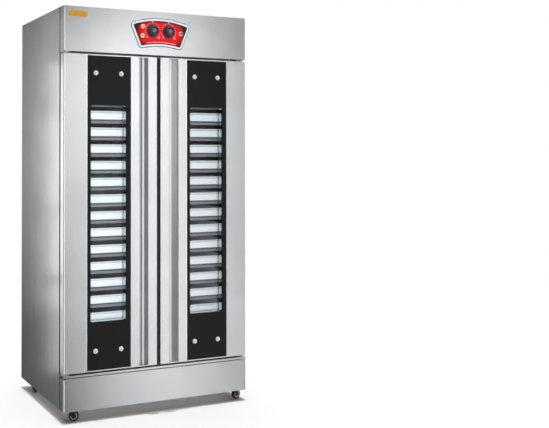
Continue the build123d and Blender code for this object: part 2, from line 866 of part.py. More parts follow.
# Push button in its ringed housing.
button_x = panel_centre + button_offset
with BuildPart() as button_housing:
    with BuildSketch(front_plane(button_x, plate_y, button_level)):
        Circle(button_ring)
    extrude(amount=button_ring_height)
    with BuildSketch(front_plane(button_x, plate_y, button_level)):
        Circle(button_ring - button_ring_wall)
    extrude(amount=-fitting_length)
    with BuildSketch(front_plane(button_x, plate_y - button_ring_height, button_level)):
        Circle(button_radius + button_gap)
    extrude(amount=-(button_ring_height + fitting_length), mode=Mode.SUBTRACT)
save(button_housing.part, "button_housing")

button_face_y = plate_y - button_ring_height - button_travel - button_proud
button_length = fitting_length + button_ring_height + button_proud
with BuildPart() as push_button:
    with BuildSketch(front_plane(button_x, button_face_y, button_level)):
        Circle(button_radius)
    extrude(amount=-button_length)
    chamfer(push_button.edges().sort_by(Axis.Y)[0], button_bevel)
save(push_button.part, "push_button")

# Cord gland high on the back panel, behind the controls; the supply cord passes through it.
gland_x = half_width - gland_inset
gland_plane = Plane(origin=(gland_x, back_y, gland_level), x_dir=(-1, 0, 0), z_dir=(0, 1, 0))
with BuildPart() as cord_gland:
    with BuildSketch(gland_plane):
        Circle(gland_radius)
    extrude(amount=gland_flange)
    with BuildSketch(gland_plane):
        Circle(gland_shank)
    extrude(amount=gland_projection, both=True)
    with BuildSketch(gland_plane):
        Circle(gland_bore)
    extrude(amount=gland_projection, both=True, mode=Mode.SUBTRACT)
save(cord_gland.part, "cord_gland")

# ----------------------------------------------------------------- castors
fork_inside = wheel_width / 2 + wheel_side_gap
fork_outside = fork_inside + fork_sheet
castor_x = half_width - castor_inset
castor_rows = {"front": front_y + castor_front_setback, "rear": back_y - castor_rear_setback}

# Each castor's swivel: its X runs from the kingpin towards the wheel.
swivels = {
    f"{row}_{side}": Plane(
        origin=(sign * castor_x, castor_rows[row], 0),
        x_dir=(cos(radians(turn)), sin(radians(turn)), 0),
        z_dir=(0, 0, 1),
    )
    for row, side, sign, turn in (
        ("front", "left", -1, castor_turn_front_left),
        ("front", "right", 1, castor_turn_front_right),
        ("rear", "left", -1, castor_turn_rear_left),
        ("rear", "right", 1, castor_turn_rear_right),
    )
}

# Top plates: bolted to the base pan, each with its ball cup and kingpin.
cup_bottom = castor_foot + fork_sheet + end_gap
plate_bottom = castor_height - castor_plate_thickness
with BuildPart() as castor_plates:
    with BuildSketch(Plane.XY.offset(castor_height)):
        with Locations(*[swivel.origin for swivel in swivels.values()]):
            Rectangle(castor_plate, castor_plate)
    extrude(amount=-castor_plate_thickness)
    with BuildSketch(Plane.XY.offset(plate_bottom)):
        with Locations(*[swivel.origin for swivel in swivels.values()]):
            Circle(castor_cup)
    extrude(amount=cup_bottom - plate_bottom)
    with BuildSketch(Plane.XY.offset(plate_bottom)):
        with Locations(*[swivel.origin for swivel in swivels.values()]):
            Circle(kingpin_radius)
    extrude(amount=castor_foot - end_gap - plate_bottom)
    with BuildSketch(Plane.XY.offset(castor_foot - end_gap)):
        with Locations(*[swivel.origin for swivel in swivels.values()]):
            Circle(kingpin_head)
    extrude(amount=-kingpin_head_height)
save(castor_plates.part, "castor_plates")


def beside_wheel(swivel, distance):
    """A plane across the axle, the given distance to one side of the wheel's centre."""
    origin = swivel.from_local_coords((castor_trail, distance, wheel_radius))
    return Plane(origin=origin, x_dir=swivel.x_dir, z_dir=-swivel.y_dir)


def castor_fork(swivel):
    """A round head on the kingpin, two tapering legs and the axle riveted through them."""
    with BuildPart() as fork:
        with BuildSketch(swivel.offset(castor_foot)):
            Circle(fork_head)
        extrude(amount=fork_sheet)
        for distance in (fork_outside, -fork_inside):
            with BuildSketch(beside_wheel(swivel, distance)):
                Circle(fork_toe)
                with Locations((-castor_trail, castor_foot - wheel_radius)):
                    Rectangle(2 * fork_shoulder, fork_sheet, align=(Align.CENTER, Align.MIN))
                make_hull()
                Circle(axle_radius + bearing_gap, mode=Mode.SUBTRACT)
            extrude(amount=fork_sheet)
        with BuildSketch(swivel.offset(castor_foot)):
            Circle(kingpin_radius + bearing_gap)
        extrude(amount=fork_sheet, mode=Mode.SUBTRACT)
        with BuildSketch(beside_wheel(swivel, 0)):
            Circle(axle_radius)
        extrude(amount=fork_outside + bearing_gap + axle_head_height, both=True)
        for distance in (fork_outside + bearing_gap, -fork_outside - bearing_gap):
            with BuildSketch(beside_wheel(swivel, distance)):
                Circle(axle_head)
            extrude(amount=-axle_head_height if distance > 0 else axle_head_height)
    return fork.part


def castor_hub(swivel):
    """A wheel centre with a bore on the axle and a dished face on each side."""
    hub_half = wheel_width / 2 - hub_setback
    with BuildPart() as hub:
        with BuildSketch(beside_wheel(swivel, 0)):
            Circle(hub_radius)
            Circle(axle_radius + bearing_gap, mode=Mode.SUBTRACT)
        extrude(amount=hub_half, both=True)
        for distance in (hub_half, -hub_half):
            with BuildSketch(beside_wheel(swivel, distance)):
                Circle(hub_radius - hub_rim)
                Circle(axle_radius + hub_rim, mode=Mode.SUBTRACT)
            extrude(amount=hub_dish if distance > 0 else -hub_dish, mode=Mode.SUBTRACT)
    return hub.part


def castor_tyre(swivel):
    """A rubber tyre round the hub, with bevelled shoulders."""
    with BuildPart() as tyre:
        with BuildSketch(beside_wheel(swivel, 0)):
            Circle(wheel_radius)
        extrude(amount=wheel_width / 2, both=True)
        chamfer(tyre.edges(), tyre_shoulder)
        with BuildSketch(beside_wheel(swivel, 0)):
            Circle(hub_radius)
        extrude(amount=wheel_width, both=True, mode=Mode.SUBTRACT)
    return tyre.part


for corner, swivel in swivels.items():
    save(castor_fork(swivel), f"castor_fork_{corner}")
    save(castor_hub(swivel), f"castor_hub_{corner}")
    save(castor_tyre(swivel), f"castor_tyre_{corner}")
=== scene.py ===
# %% [markdown]
# # A two-door dough proofer
# The object is a tall insulated cabinet of brushed stainless sheet on four castors. Two doors, each
# with a black glass panel, a long window and a recessed pull, close a rack of twenty-six dough trays.
# The solid model supplies every main form. This lesson dresses it: finishes for the sheet metal,
# and finer surfaces for the pieces whose curves catch the light.

# %% The frame
import json
import math

import bmesh
import bpy
import numpy as np
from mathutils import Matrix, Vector


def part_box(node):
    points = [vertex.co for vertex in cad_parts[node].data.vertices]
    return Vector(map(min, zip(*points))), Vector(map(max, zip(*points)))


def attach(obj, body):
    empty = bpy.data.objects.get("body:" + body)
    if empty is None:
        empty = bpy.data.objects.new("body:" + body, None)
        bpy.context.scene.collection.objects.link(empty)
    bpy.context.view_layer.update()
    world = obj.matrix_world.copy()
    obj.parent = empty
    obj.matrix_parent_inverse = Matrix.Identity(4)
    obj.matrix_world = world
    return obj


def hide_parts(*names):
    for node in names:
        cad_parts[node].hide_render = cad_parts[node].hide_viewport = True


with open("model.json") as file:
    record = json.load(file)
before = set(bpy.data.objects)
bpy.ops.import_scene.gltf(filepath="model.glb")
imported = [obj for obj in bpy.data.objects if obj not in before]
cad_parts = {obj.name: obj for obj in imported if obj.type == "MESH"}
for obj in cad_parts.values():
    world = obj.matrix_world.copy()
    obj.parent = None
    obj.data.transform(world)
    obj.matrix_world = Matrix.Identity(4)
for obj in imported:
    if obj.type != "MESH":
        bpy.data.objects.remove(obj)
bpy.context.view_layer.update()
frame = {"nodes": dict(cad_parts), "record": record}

# %% [markdown]
# ## Sizes
# The lengths that the new pieces share with the solid model are written once, in millimetres, as a
# sheet-metal worker would read them off the drawing. Places come from the boxes of the solid pieces
# wherever one gives them, so that nothing has to be fitted by eye.

# %% Sizes shared with the solid model
MM = 0.001
SHEET = 1.2
HANDLE_DEPTH, HANDLE_UNDERCUT, HANDLE_WALL, HANDLE_LIP = 28, 14, 2, 4
TRAY_LEVELS, TRAY_HEIGHT, TRAY_RIM, TRAY_TAPER, TRAY_WALL = 13, 50, 8, 5, 1.5
PANEL_TOP_HALF, PANEL_FOOT_HALF, PANEL_CORNER, BEZEL_WIDTH, BEZEL_HEIGHT = 150, 107, 6, 10, 6
PANEL_TOP_RISE, PANEL_FOOT_RISE, PLATE_THICKNESS = 24, 12.6, 2
PANEL_SHOULDER_DROP, PANEL_FOOT_DROP, KNOB_DROP, KNOB_SPREAD = 69, 174, 28, 44
KNOB_RADIUS, KNOB_GRIP, KNOB_SKIRT, KNOB_HEIGHT = 33, 28, 6, 25.7
LENS_RADIUS, LENS_HEIGHT, BUTTON_RADIUS, BUTTON_RING, RING_HEIGHT = 10.5, 3, 7, 10.5, 3
WHEEL_RADIUS, HUB_RADIUS, AXLE_BORE = 25, 17, 4.05
CASTOR_TURNS = {"front_left": -19, "front_right": 17, "rear_left": 250, "rear_right": 200}


def corners(node):
    """The lowest and highest corner of a solid piece, in millimetres."""
    return (np.array(corner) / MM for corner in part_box(node))


def centre_of(node):
    """The middle of a solid piece's box, in millimetres."""
    low, high = corners(node)
    return (low + high) / 2


header_low, header_high = corners("header_fascia")
FRONT_Y, HEADER_TOP = header_low[1], header_high[2]
print(f"front plane y {FRONT_Y:.1f} mm, header {header_high[2] - header_low[2]:.0f} mm tall")

# %% [markdown]
# ## Camera and studio
# Catalogue pictures of cabinets like this are taken from about chest height with a moderate lens, a
# little to the left, so that the front and one side show. Sheet metal is only as good as what it
# reflects, so the studio is built for its mirror: tall pale boards stand at chosen bearings with dim
# wall between them, and the steel turns each into a soft upright glow. Painted and printed surfaces, and
# the floor, are lit by lamps of their own, kept plain and even.

# %% Camera
EYE = (-1.7970, -4.2997, 1.2863)
LENS_MM, YAW, PITCH = 56.61, 24.52, 0.95
SHIFT_X, SHIFT_Y = 0.2110, -0.1352

camera_data = bpy.data.cameras.new("camera")
camera_data.lens = LENS_MM
camera_data.shift_x, camera_data.shift_y = SHIFT_X, SHIFT_Y
camera = bpy.data.objects.new("camera", camera_data)
camera.location = EYE
camera.rotation_euler = (math.radians(90 + PITCH), 0, math.radians(-YAW))
bpy.context.scene.collection.objects.link(camera)
bpy.context.scene.camera = camera
bpy.context.scene.view_settings.view_transform = "Standard"
print("camera", EYE, "lens", LENS_MM)


# %% Colours and nodes
def linear(hex_colour):
    """An sRGB hex colour as linear RGBA: c / 12.92 where dark, otherwise ((c + 0.055) / 1.055) to the 2.4."""
    c = np.array([int(hex_colour[i : i + 2], 16) for i in (1, 3, 5)]) / 255
    return (*np.where(c <= 0.04045, c / 12.92, ((c + 0.055) / 1.055) ** 2.4).tolist(), 1.0)


def add(tree, kind, values=None, links=None, **settings):
    """Adds one node: settings are its own properties, values its sockets' numbers, links what feeds them."""
    node = tree.nodes.new(kind)
    for name, setting in settings.items():
        setattr(node, name, setting)
    for socket, value in (values or {}).items():
        node.inputs[socket].default_value = value
    for socket, source in (links or {}).items():
        tree.links.new(source, node.inputs[socket])
    return node


# %% The surround
SURROUND, WARM_SHADE, WHITE = 0.09, (1.0, 0.87, 0.79, 1.0), (1.0, 1.0, 1.0, 1.0)
# Each board: compass bearing from straight behind (degrees, clockwise from above), elevation (none for a
# board as tall as the studio), the angles from its middle where it is full and where it ends, and how
# much it adds. A negative amount is a dark flag, which takes away some of the board that it hangs before.
BOARDS = [
    # The header, the doors and the kick panel mirror these.
    (156, None, 0.5, 5, 2.45),
    (164, 5, 1, 8, 0.87),
    (157.5, 6.9, 1, 4.6, 3.1),
    (152.8, None, 0.5, 3, 0.17),
    (148, 8, 3, 8, -0.42),
    (153, -6, 2, 6, 0.4),
    (157, 11.9, 3, 5.3, -1.8),
    (162, 11, 4, 7, -0.75),
    (164, -20, 3, 11.5, -0.66),
    (148.5, -5, 1.5, 4.3, -0.9),
    # The ramps of the two pulls face aside and mirror these.
    (122, None, 5, 18, 0.85),
    (117, -3, 3, 9, 0.55),
    (195, None, 3, 9, 0.15),
    (195, 4, 3, 9, 0.95),
    # The left side mirrors these.
    (325, None, 3, 17.5, 0.45),
    (325, 0.6, 3, 17.5, 1.12),
    (350, 1, 4, 10, 0.24),
    # These serve whoever walks round: the front from other sides, the right side, the back and the roof.
    (96, None, 14, 32, 0.75),
    (138, None, 5, 10, 0.5),
    (180, None, 5, 14, 0.5),
    (45, None, 16, 34, 0.85),
    (6, None, 4, 11, 0.5),
    (275, None, 12, 26, 0.6),
    (232, None, 14, 29, 0.7),
    (0, 90, 30, 65, 0.5),
]

world = bpy.data.worlds.new("studio")
bpy.context.scene.world = world
world.use_nodes = True
sky = world.node_tree
sky.nodes.clear()
bearing = add(sky, "ShaderNodeTexCoord").outputs["Generated"]
flattened = add(sky, "ShaderNodeVectorMath", {1: (1, 1, 0)}, {0: bearing}, operation="MULTIPLY").outputs[0]
level_bearing = add(sky, "ShaderNodeVectorMath", {}, {0: flattened}, operation="NORMALIZE").outputs[0]
mirrored = add(sky, "ShaderNodeMath", {0: 0.0, 1: 0.0}).outputs[0]
for turn, rise, full, ends, amount in BOARDS:
    source = level_bearing if rise is None else bearing
    turn, rise = math.radians(turn), math.radians(rise or 0)
    full, begins = math.cos(math.radians(full)), math.cos(math.radians(ends))
    towards = (math.sin(turn) * math.cos(rise), math.cos(turn) * math.cos(rise), math.sin(rise))
    facing = add(sky, "ShaderNodeVectorMath", {1: towards}, {0: source}, operation="DOT_PRODUCT")
    board = add(
        sky,
        "ShaderNodeMapRange",
        {"From Min": begins, "From Max": full, "To Min": 0.0, "To Max": amount},
        {"Value": facing.outputs["Value"]},
        interpolation_type="SMOOTHSTEP",
    )
    mirrored = add(sky, "ShaderNodeMath", {}, {0: mirrored, 1: board.outputs[0]}, operation="ADD").outputs[0]

path = add(sky, "ShaderNodeLightPath").outputs
straight, bounced, through = (path[f"Is {kind} Ray"] for kind in ("Camera", "Glossy", "Transmission"))
glossy = add(sky, "ShaderNodeMath", {}, {0: bounced, 1: through}, operation="MAXIMUM").outputs[0]
seen = add(sky, "ShaderNodeMath", {}, {0: glossy, 1: straight}, operation="MAXIMUM").outputs[0]
unlit = add(sky, "ShaderNodeMix", {2: SURROUND}, {0: glossy, 3: mirrored}).outputs[0]
strength = add(sky, "ShaderNodeMix", {3: 1.0}, {0: straight, 2: unlit}).outputs[0]
hue = add(sky, "ShaderNodeMix", {6: WARM_SHADE, 7: WHITE}, {0: seen}, data_type="RGBA").outputs[2]
shade = add(sky, "ShaderNodeBackground", {}, {"Color": hue, "Strength": strength})
add(sky, "ShaderNodeOutputWorld", {}, {"Surface": shade.outputs[0]})
print("surround level", SURROUND, "with", len(BOARDS), "boards")


# %% Lamps
def lit(name, kind, place, target, mirrored=False, **settings):
    """A lamp at a place, turned to face a target; settings are the lamp's own properties. A lamp lights
    either mirrors or plain surfaces, so that each kind can be balanced by itself."""
    lamp = bpy.data.lights.new(name, kind)
    for setting, value in settings.items():
        setattr(lamp, setting, value)
    lamp_object = bpy.data.objects.new(name, lamp)
    lamp_object.location = place
    aim = Vector(target) - Vector(place)
    lamp_object.rotation_euler = aim.to_track_quat("-Z", "Y").to_euler()
    lamp_object.visible_camera = False
    lamp_object.visible_glossy, lamp_object.visible_diffuse = mirrored, not mirrored
    bpy.context.scene.collection.objects.link(lamp_object)
    return lamp_object


COOL, WARM = (0.91, 0.99, 1.05), (1.0, 0.92, 0.87)
lit("overhead", "SUN", (0, 0, 5), (0, 0, 0), energy=1.65, angle=math.radians(0.6), color=COOL)
lit("ceiling", "SUN", (0, 0, 5), (0, 0, 0), energy=1.8, angle=math.radians(70), color=WARM)
box = {"kind": "AREA", "shape": "RECTANGLE"}
key = lit("key_box", place=(-1.75, -4.6, 1.15), target=(0, -0.3, 0.65), size=1.2, size_y=1.6, energy=470, **box)

# Strips that stand to the left, behind the side panel, which mirrors them as soft upright glows: the place in
# plan, the level, the width and height, and the watts.
STRIPS = [
    ("side", -0.95, 1.07, 0.6, 0.3, 0.6, 0.26),
    ("side", -0.95, 1.07, 1.25, 0.3, 0.6, 0.27),
    ("side", -0.95, 1.07, 1.9, 0.3, 0.6, 0.17),
    ("near", -0.8, 0.4, 1.2, 0.2, 1.2, 0.64),
    ("near", -0.8, 0.4, 0.3, 0.2, 0.5, 0.22),
]
for name, x, y, level, wide, tall, energy in STRIPS:
    lit(f"{name}_{level}", place=(x, y, level), target=(-0.5, -0.3, level), size=wide, size_y=tall,
        mirrored=True, energy=energy, **box)
print(len(bpy.data.lights), "lamps")

# %% [markdown]
# ## Floor
# The cabinet stands on a plain sheet of pale paper that runs out into the white surround. The key lamp is
# flagged off the paper, as a photographer would do with a black card, so that the shade under the cabinet
# stays deep. Mirrors look past the paper to the boards.

# %% Floor
FLOOR_RADIUS, FLOOR_FADE = 6.0, 3.2
turn = np.linspace(0, 2 * np.pi, 64, endpoint=False)
floor_mesh = bpy.data.meshes.new("floor")
rim = np.stack([FLOOR_RADIUS * np.cos(turn), FLOOR_RADIUS * np.sin(turn), 0 * turn], -1)
floor_mesh.from_pydata(rim.tolist(), [], [list(range(len(turn)))])
floor = bpy.data.objects.new("floor", floor_mesh)
bpy.context.scene.collection.objects.link(floor)

floor_finish = bpy.data.materials.new("pale paper")
floor_finish.use_nodes = True
tree = floor_finish.node_tree
tree.nodes.clear()
where = add(tree, "ShaderNodeTexCoord").outputs["Object"]
away = add(tree, "ShaderNodeVectorMath", {}, {0: where}, operation="LENGTH").outputs["Value"]
fade = add(
    tree,
    "ShaderNodeMapRange",
    {"From Min": FLOOR_FADE, "From Max": FLOOR_RADIUS * 0.95},
    {"Value": away},
    interpolation_type="SMOOTHSTEP",
).outputs[0]
past = add(tree, "ShaderNodeLightPath").outputs["Is Glossy Ray"]
gone = add(tree, "ShaderNodeMath", {}, {0: fade, 1: past}, operation="MAXIMUM").outputs[0]
paint = add(tree, "ShaderNodeBsdfDiffuse", {"Color": linear("#F8F7F6")}).outputs[0]
clear = add(tree, "ShaderNodeBsdfTransparent").outputs[0]
blend = add(tree, "ShaderNodeMixShader", {}, {0: gone, 1: paint, 2: clear}).outputs[0]
add(tree, "ShaderNodeOutputMaterial", {}, {"Surface": blend})
floor_mesh.materials.append(floor_finish)
print(f"floor {2 * FLOOR_RADIUS:.0f} m across, fading from {FLOOR_FADE} m")

flagged = bpy.data.collections.new("flagged off the key")
flagged.objects.link(floor)
key.light_linking.receiver_collection = flagged
flagged.collection_objects[0].light_linking.link_state = "EXCLUDE"

# %% [markdown]
# ## Finishes
# Each finish starts from what the real one is and how its surface was made. Stainless sheet is brushed with a belt,
# so fine parallel scratches run one way: they stretch highlights across the grain and make the tone waver a little. A
# helper starts a finish with one principled shader; the patterns are added one by one for each, at scales worked out
# from real sizes in millimetres.


# %% Starting a finish
finishes = {}


def new_finish(slot, name, colour, **sockets):
    """A material with one principled shader, kept under its slot. Underscores in a keyword are spaces."""
    material = finishes[slot] = bpy.data.materials.new(name)
    material.use_nodes = True
    nodes = material.node_tree
    nodes.nodes.clear()
    shader = add(nodes, "ShaderNodeBsdfPrincipled", {"Base Color": linear(colour)})
    for socket, value in sockets.items():
        shader.inputs[socket.replace("_", " ").title().replace("Ior", "IOR")].default_value = value
    add(nodes, "ShaderNodeOutputMaterial", {}, {"Surface": shader.outputs[0]})
    return nodes, shader


SCRATCH_GAP, SCRATCH_LENGTH, GLOSS_WAVER = 1.5, 450, 0.012


def brushed(slot, name, dull, bright, roughness, grain):
    """Brushed sheet: noise stretched 300 to 1 along the grain sets tone, gloss and a shallow relief.
    The belt's scratches are about 0.2 mm apart; they are drawn 1.5 mm apart, so that they show."""
    nodes, shader = new_finish(slot, name, bright, metallic=1.0, roughness=roughness)
    across, along = 1 / (SCRATCH_GAP * MM), 1 / (SCRATCH_LENGTH * MM)
    scale = [along if axis == grain else across for axis in "xyz"]
    place = add(nodes, "ShaderNodeTexCoord").outputs["Object"]
    laid = add(nodes, "ShaderNodeMapping", {"Scale": scale}, {"Vector": place}).outputs[0]
    scratch = add(nodes, "ShaderNodeTexNoise", {"Scale": 1.0, "Detail": 3.0}, {"Vector": laid}).outputs["Fac"]
    cloud = add(nodes, "ShaderNodeTexNoise", {"Scale": 6.0, "Detail": 2.0}, {"Vector": place}).outputs["Fac"]
    both = add(nodes, "ShaderNodeMath", {}, {0: scratch, 1: cloud}, operation="MULTIPLY").outputs[0]
    tone = add(nodes, "ShaderNodeMapRange", {"From Min": 0.12, "From Max": 0.38}, {"Value": both}).outputs[0]
    shades = {6: linear(dull), 7: linear(bright)}
    colour = add(nodes, "ShaderNodeMix", shades, {0: tone}, data_type="RGBA").outputs[2]
    waver = {"From Min": 0.3, "From Max": 0.7, "To Min": roughness - GLOSS_WAVER, "To Max": roughness + GLOSS_WAVER}
    gloss = add(nodes, "ShaderNodeMapRange", waver, {"Value": scratch}).outputs[0]
    shallow = {"Strength": 0.004, "Distance": 0.1 * MM}
    relief = add(nodes, "ShaderNodeBump", shallow, {"Height": scratch}).outputs[0]
    nodes.links.new(colour, shader.inputs["Base Color"])
    nodes.links.new(gloss, shader.inputs["Roughness"])
    nodes.links.new(relief, shader.inputs["Normal"])


# Cabinet sheet: a satin mirror whose soft glows run with the upright grain.
brushed("cabinet_steel", "brushed stainless sheet, grain upright", "#BDBEC1", "#CBCCCE", 0.28, "z")
# Header, kick panel, sill and roof are cut across the coil, so their glows spread the other way.
brushed("fascia_steel", "brushed stainless sheet, grain level", "#C2C3C6", "#CBCCCE", 0.24, "x")
# Door skins are a paler, finer brushed sheet.
brushed("door_steel", "brushed stainless door sheet", "#D2D3D5", "#DBDCDE", 0.26, "z")
# A fold given a painted highlight: a paler sheet that reads as a fine light line.
brushed("painted_highlight_edge", "stainless fold with painted highlight", "#EFF0F1", "#F6F6F7", 0.24, "z")
# The liner keeps the dull grey of the rolling mill.
brushed("inner_steel", "dull rolled stainless liner", "#8A8B8D", "#9A9B9D", 0.45, "z")
# The pull's extrusion has a silky sheen with die lines along it.
brushed("handle_aluminium", "satin anodised aluminium extrusion", "#CDCFD2", "#D9DBDE", 0.28, "z")
print(len(finishes), "brushed finishes")


# %% Plain finishes with a fine grain
def grained(slot, name, colour, darker, grain_mm, height_mm, **sockets):
    """A moulded, cast or coated surface: fine noise of the grain's size varies tone a little and raises it."""
    nodes, shader = new_finish(slot, name, colour, **sockets)
    place = add(nodes, "ShaderNodeTexCoord").outputs["Object"]
    grain = {"Scale": 1 / (grain_mm * MM), "Detail": 4.0}
    noise = add(nodes, "ShaderNodeTexNoise", grain, {"Vector": place}).outputs["Fac"]
    shades = {6: linear(darker), 7: linear(colour)}
    mixed = add(nodes, "ShaderNodeMix", shades, {0: noise}, data_type="RGBA").outputs[2]
    raised = {"Strength": 0.3, "Distance": height_mm * MM}
    relief = add(nodes, "ShaderNodeBump", raised, {"Height": noise}).outputs[0]
    nodes.links.new(mixed, shader.inputs["Base Color"])
    nodes.links.new(relief, shader.inputs["Normal"])


def shaded(finish, share, colour):
    """Takes a finish's own colour towards another by the share that a socket gives; returns its shader."""
    nodes = finishes[finish].node_tree
    shader = next(node for node in nodes.nodes if node.type == "BSDF_PRINCIPLED")
    own = shader.inputs["Base Color"].links[0].from_socket
    mixed = add(nodes, "ShaderNodeMix", {7: linear(colour)}, {0: share, 6: own}, data_type="RGBA").outputs[2]
    nodes.links.new(mixed, shader.inputs["Base Color"])
    return shader


# %% Rack, trays and inside
# Enamelled bar is soft and slightly uneven, with almost no sparkle.
grained("rack_steel", "grey enamelled rack bar", "#8C8D90", "#7E7F82", 8, 0.02, metallic=0.2, roughness=0.45)
# Pickled aluminium pressings scatter light so evenly that they look nearly white.
grained("tray_metal", "satin aluminium tray", "#EEF8FE", "#E2F0F8", 12, 0.02, metallic=0.1, roughness=0.5)
# A heater's sheath goes brown and dull where it has glowed.
grained("heater_sheath", "heat-tinted heater tube", "#6A5F58", "#4C4644", 6, 0.03, metallic=1.0, roughness=0.45)
# Mineral wool is a matt straw-coloured fleece.
grained("insulation_wool", "mineral wool", "#D9C98C", "#A8965E", 4, 1.5, roughness=0.95)
# The chamber lamp's glass is sandblasted inside.
grained("lamp_lens", "frosted lamp lens", "#EDEFE8", "#DCDED6", 2, 0.03, roughness=0.4)
# Seals are matt, a little dusty black.
grained("seal_rubber", "matt rubber seal", "#141415", "#0C0C0D", 1.5, 0.05, roughness=0.7)

# %% Panel glass and studs
# Glass enamelled from behind is an even black under a thin gloss.
grained("black_glass", "black enamelled glass", "#0A0A0B", "#060607", 40, 0.01,
        roughness=0.3, ior=1.52, specular_ior_level=0.17)
# Turned and polished nickel gathers one bright point.
grained("stud_chrome", "polished nickel stud", "#CDCFD3", "#C2C4C8", 8, 0.01, metallic=0.8, roughness=0.18)

# Behind the enamelled sheet the same solid carries the bright spacer of the double glazing.
SPACER_DEPTH = 6
nodes = finishes["black_glass"].node_tree
place = add(nodes, "ShaderNodeTexCoord").outputs["Object"]
depth = add(nodes, "ShaderNodeSeparateXYZ", {}, {0: place}).outputs["Y"]
begins = (FRONT_Y + SPACER_DEPTH) * MM
spacer = add(nodes, "ShaderNodeMath", {1: begins}, {0: depth}, operation="GREATER_THAN").outputs[0]
gloss = add(nodes, "ShaderNodeMapRange", {"To Min": 0.3, "To Max": 0.12}, {"Value": spacer}).outputs[0]
shader = shaded("black_glass", spacer, "#C9CDD0")
nodes.links.new(spacer, shader.inputs["Metallic"])
nodes.links.new(gloss, shader.inputs["Roughness"])
print("the spacer's frame begins at y", round(float(begins), 4))

# %% Controls
# Silver paint over moulding: bright, but with no true reflection.
grained("bezel_chrome", "silver-painted moulded bezel", "#B6BCC4", "#ABB2BB", 20, 0.01,
        metallic=0.25, roughness=0.4)
# Printed and lacquered sheet: a deep, even red.
grained("panel_red", "red printed panel", "#A80D18", "#950A14", 10, 0.01, roughness=0.35, specular_ior_level=0.3)
grained("white_print", "white screen print", "#F2EDE8", "#E2DAD2", 3, 0.01, roughness=0.4)
# Glossy black moulding shows only its highlights; the cap is a dull metallic disc.
grained("knob_black", "black moulded knob", "#111319", "#0B0C11", 2, 0.02, roughness=0.22, coat_weight=0.6)
grained("cap_grey", "dark grey knob cap", "#5A606C", "#4C515C", 4, 0.01, metallic=0.4, roughness=0.25)
# Coloured lenses look dull while they are out.
grained("lamp_amber", "amber indicator lens", "#D9703A", "#C4602E", 6, 0.01, roughness=0.2)
grained("lamp_green", "green indicator lens", "#1A9150", "#12703C", 6, 0.01, roughness=0.2)
grained("button_red", "dark red push button", "#6E0D10", "#52090C", 4, 0.01, roughness=0.3)
grained("ring_chrome", "cream moulded ring", "#DDB992", "#CDA981", 6, 0.01, metallic=0.1, roughness=0.35)
# Switch bodies and the gland are matt, hard-wearing mouldings.
grained("control_black", "black moulded housing", "#1B1B1D", "#121214", 1.2, 0.05, roughness=0.5)
grained("gland_black", "black nylon gland", "#1A1A1B", "#111112", 1.5, 0.05, roughness=0.5)
# Gold lacquer over thin sheet: warm and half dull.
grained("yellow_lacquer", "gold lacquered plate", "#93671A", "#7C5610", 8, 0.02, roughness=0.4)

# %% Castor finishes
# Zinc plate darkened with handling, dark nylon, a bright ring round it and black rubber.
grained("castor_zinc", "dark zinc-plated castor", "#3C3C3E", "#2A2A2C", 5, 0.03, metallic=1.0, roughness=0.42)
grained("hub_grey", "dark nylon wheel centre", "#2A2A2C", "#1E1E20", 2, 0.03, roughness=0.3)
grained("trim_bright", "bright plated trim ring", "#A6A8AC", "#96989C", 3, 0.01, metallic=0.7, roughness=0.25)
grained("tyre_black", "black rubber tyre", "#050505", "#020202", 1.5, 0.05, roughness=0.6, specular_ior_level=0.3)

# %% Clear glass
# Clean glass shows only by its gloss, and by its dark edge where it is seen at a slant.
nodes, shader = new_finish("clear_glass", "clear toughened glass", "#0E1114", roughness=0.03, ior=1.52)
edge_on = add(nodes, "ShaderNodeLayerWeight", {"Blend": 0.25}).outputs["Facing"]
cover = add(nodes, "ShaderNodeMapRange", {"To Min": 0.05, "To Max": 0.75}, {"Value": edge_on}).outputs[0]
nodes.links.new(cover, shader.inputs["Alpha"])
print(len(finishes), "finishes in all")

# %% Dressing the solid pieces
LEVEL_GRAIN = ("header_fascia", "kick_panel", "door_sill", "roof_panel")
slots = {row["node"]: row["material_slot"] for row in frame["record"]["subparts"]}
for name, node in frame["nodes"].items():
    finish = "fascia_steel" if name in LEVEL_GRAIN else slots[name]
    node.data.materials.clear()
    node.data.materials.append(finishes[finish])
print(len(slots), "solid pieces dressed")

# %% [markdown]
# ## Surfaces
# Every new piece is a set of curves carried along another curve: a section round a path, a profile
# round an axis, or a ring drawn again at each height. The points are laid out as arrays of rows, and
# one function joins neighbouring rows with four-sided faces.


# %% Drawing surfaces
def grid(rows, cols, close_rows=False, close_cols=False):
    """Four-sided faces between neighbouring rows of points: (i, j), (i, j+1), (i+1, j+1), (i+1, j)."""
    i = np.arange(rows if close_rows else rows - 1)[:, None]
    j = np.arange(cols if close_cols else cols - 1)[None, :]
    near, far = i * cols, (i + 1) % rows * cols
    after = (j + 1) % cols
    return np.stack([near + j, near + after, far + after, far + j], -1).reshape(-1, 4).tolist()


def rounded(points, radii, steps=6):
    """A flat path with rounded corners. A corner of radius r and angle a between its runs gets an arc that
    starts r / tan(a / 2) along each run; the arc turns evenly from one touching point to the other."""
    points = np.array(points, float)
    path = []
    for here, (point, radius) in enumerate(zip(points, radii)):
        if radius == 0:
            path.append(point[None])
            continue
        before = points[here - 1] - point
        after = points[(here + 1) % len(points)] - point
        before, after = before / np.linalg.norm(before), after / np.linalg.norm(after)
        angle = math.acos(np.clip(before @ after, -1, 1))
        middle = before + after
        centre = point + middle / np.linalg.norm(middle) * radius / math.sin(angle / 2)
        start = point + before * radius / math.tan(angle / 2) - centre
        end = point + after * radius / math.tan(angle / 2) - centre
        sweep = math.pi - angle
        t = np.linspace(0, 1, steps + 1)[:, None]
        arc = (np.sin((1 - t) * sweep) * start + np.sin(t * sweep) * end) / math.sin(sweep)
        path.append(centre + arc)
    return np.concatenate(path)


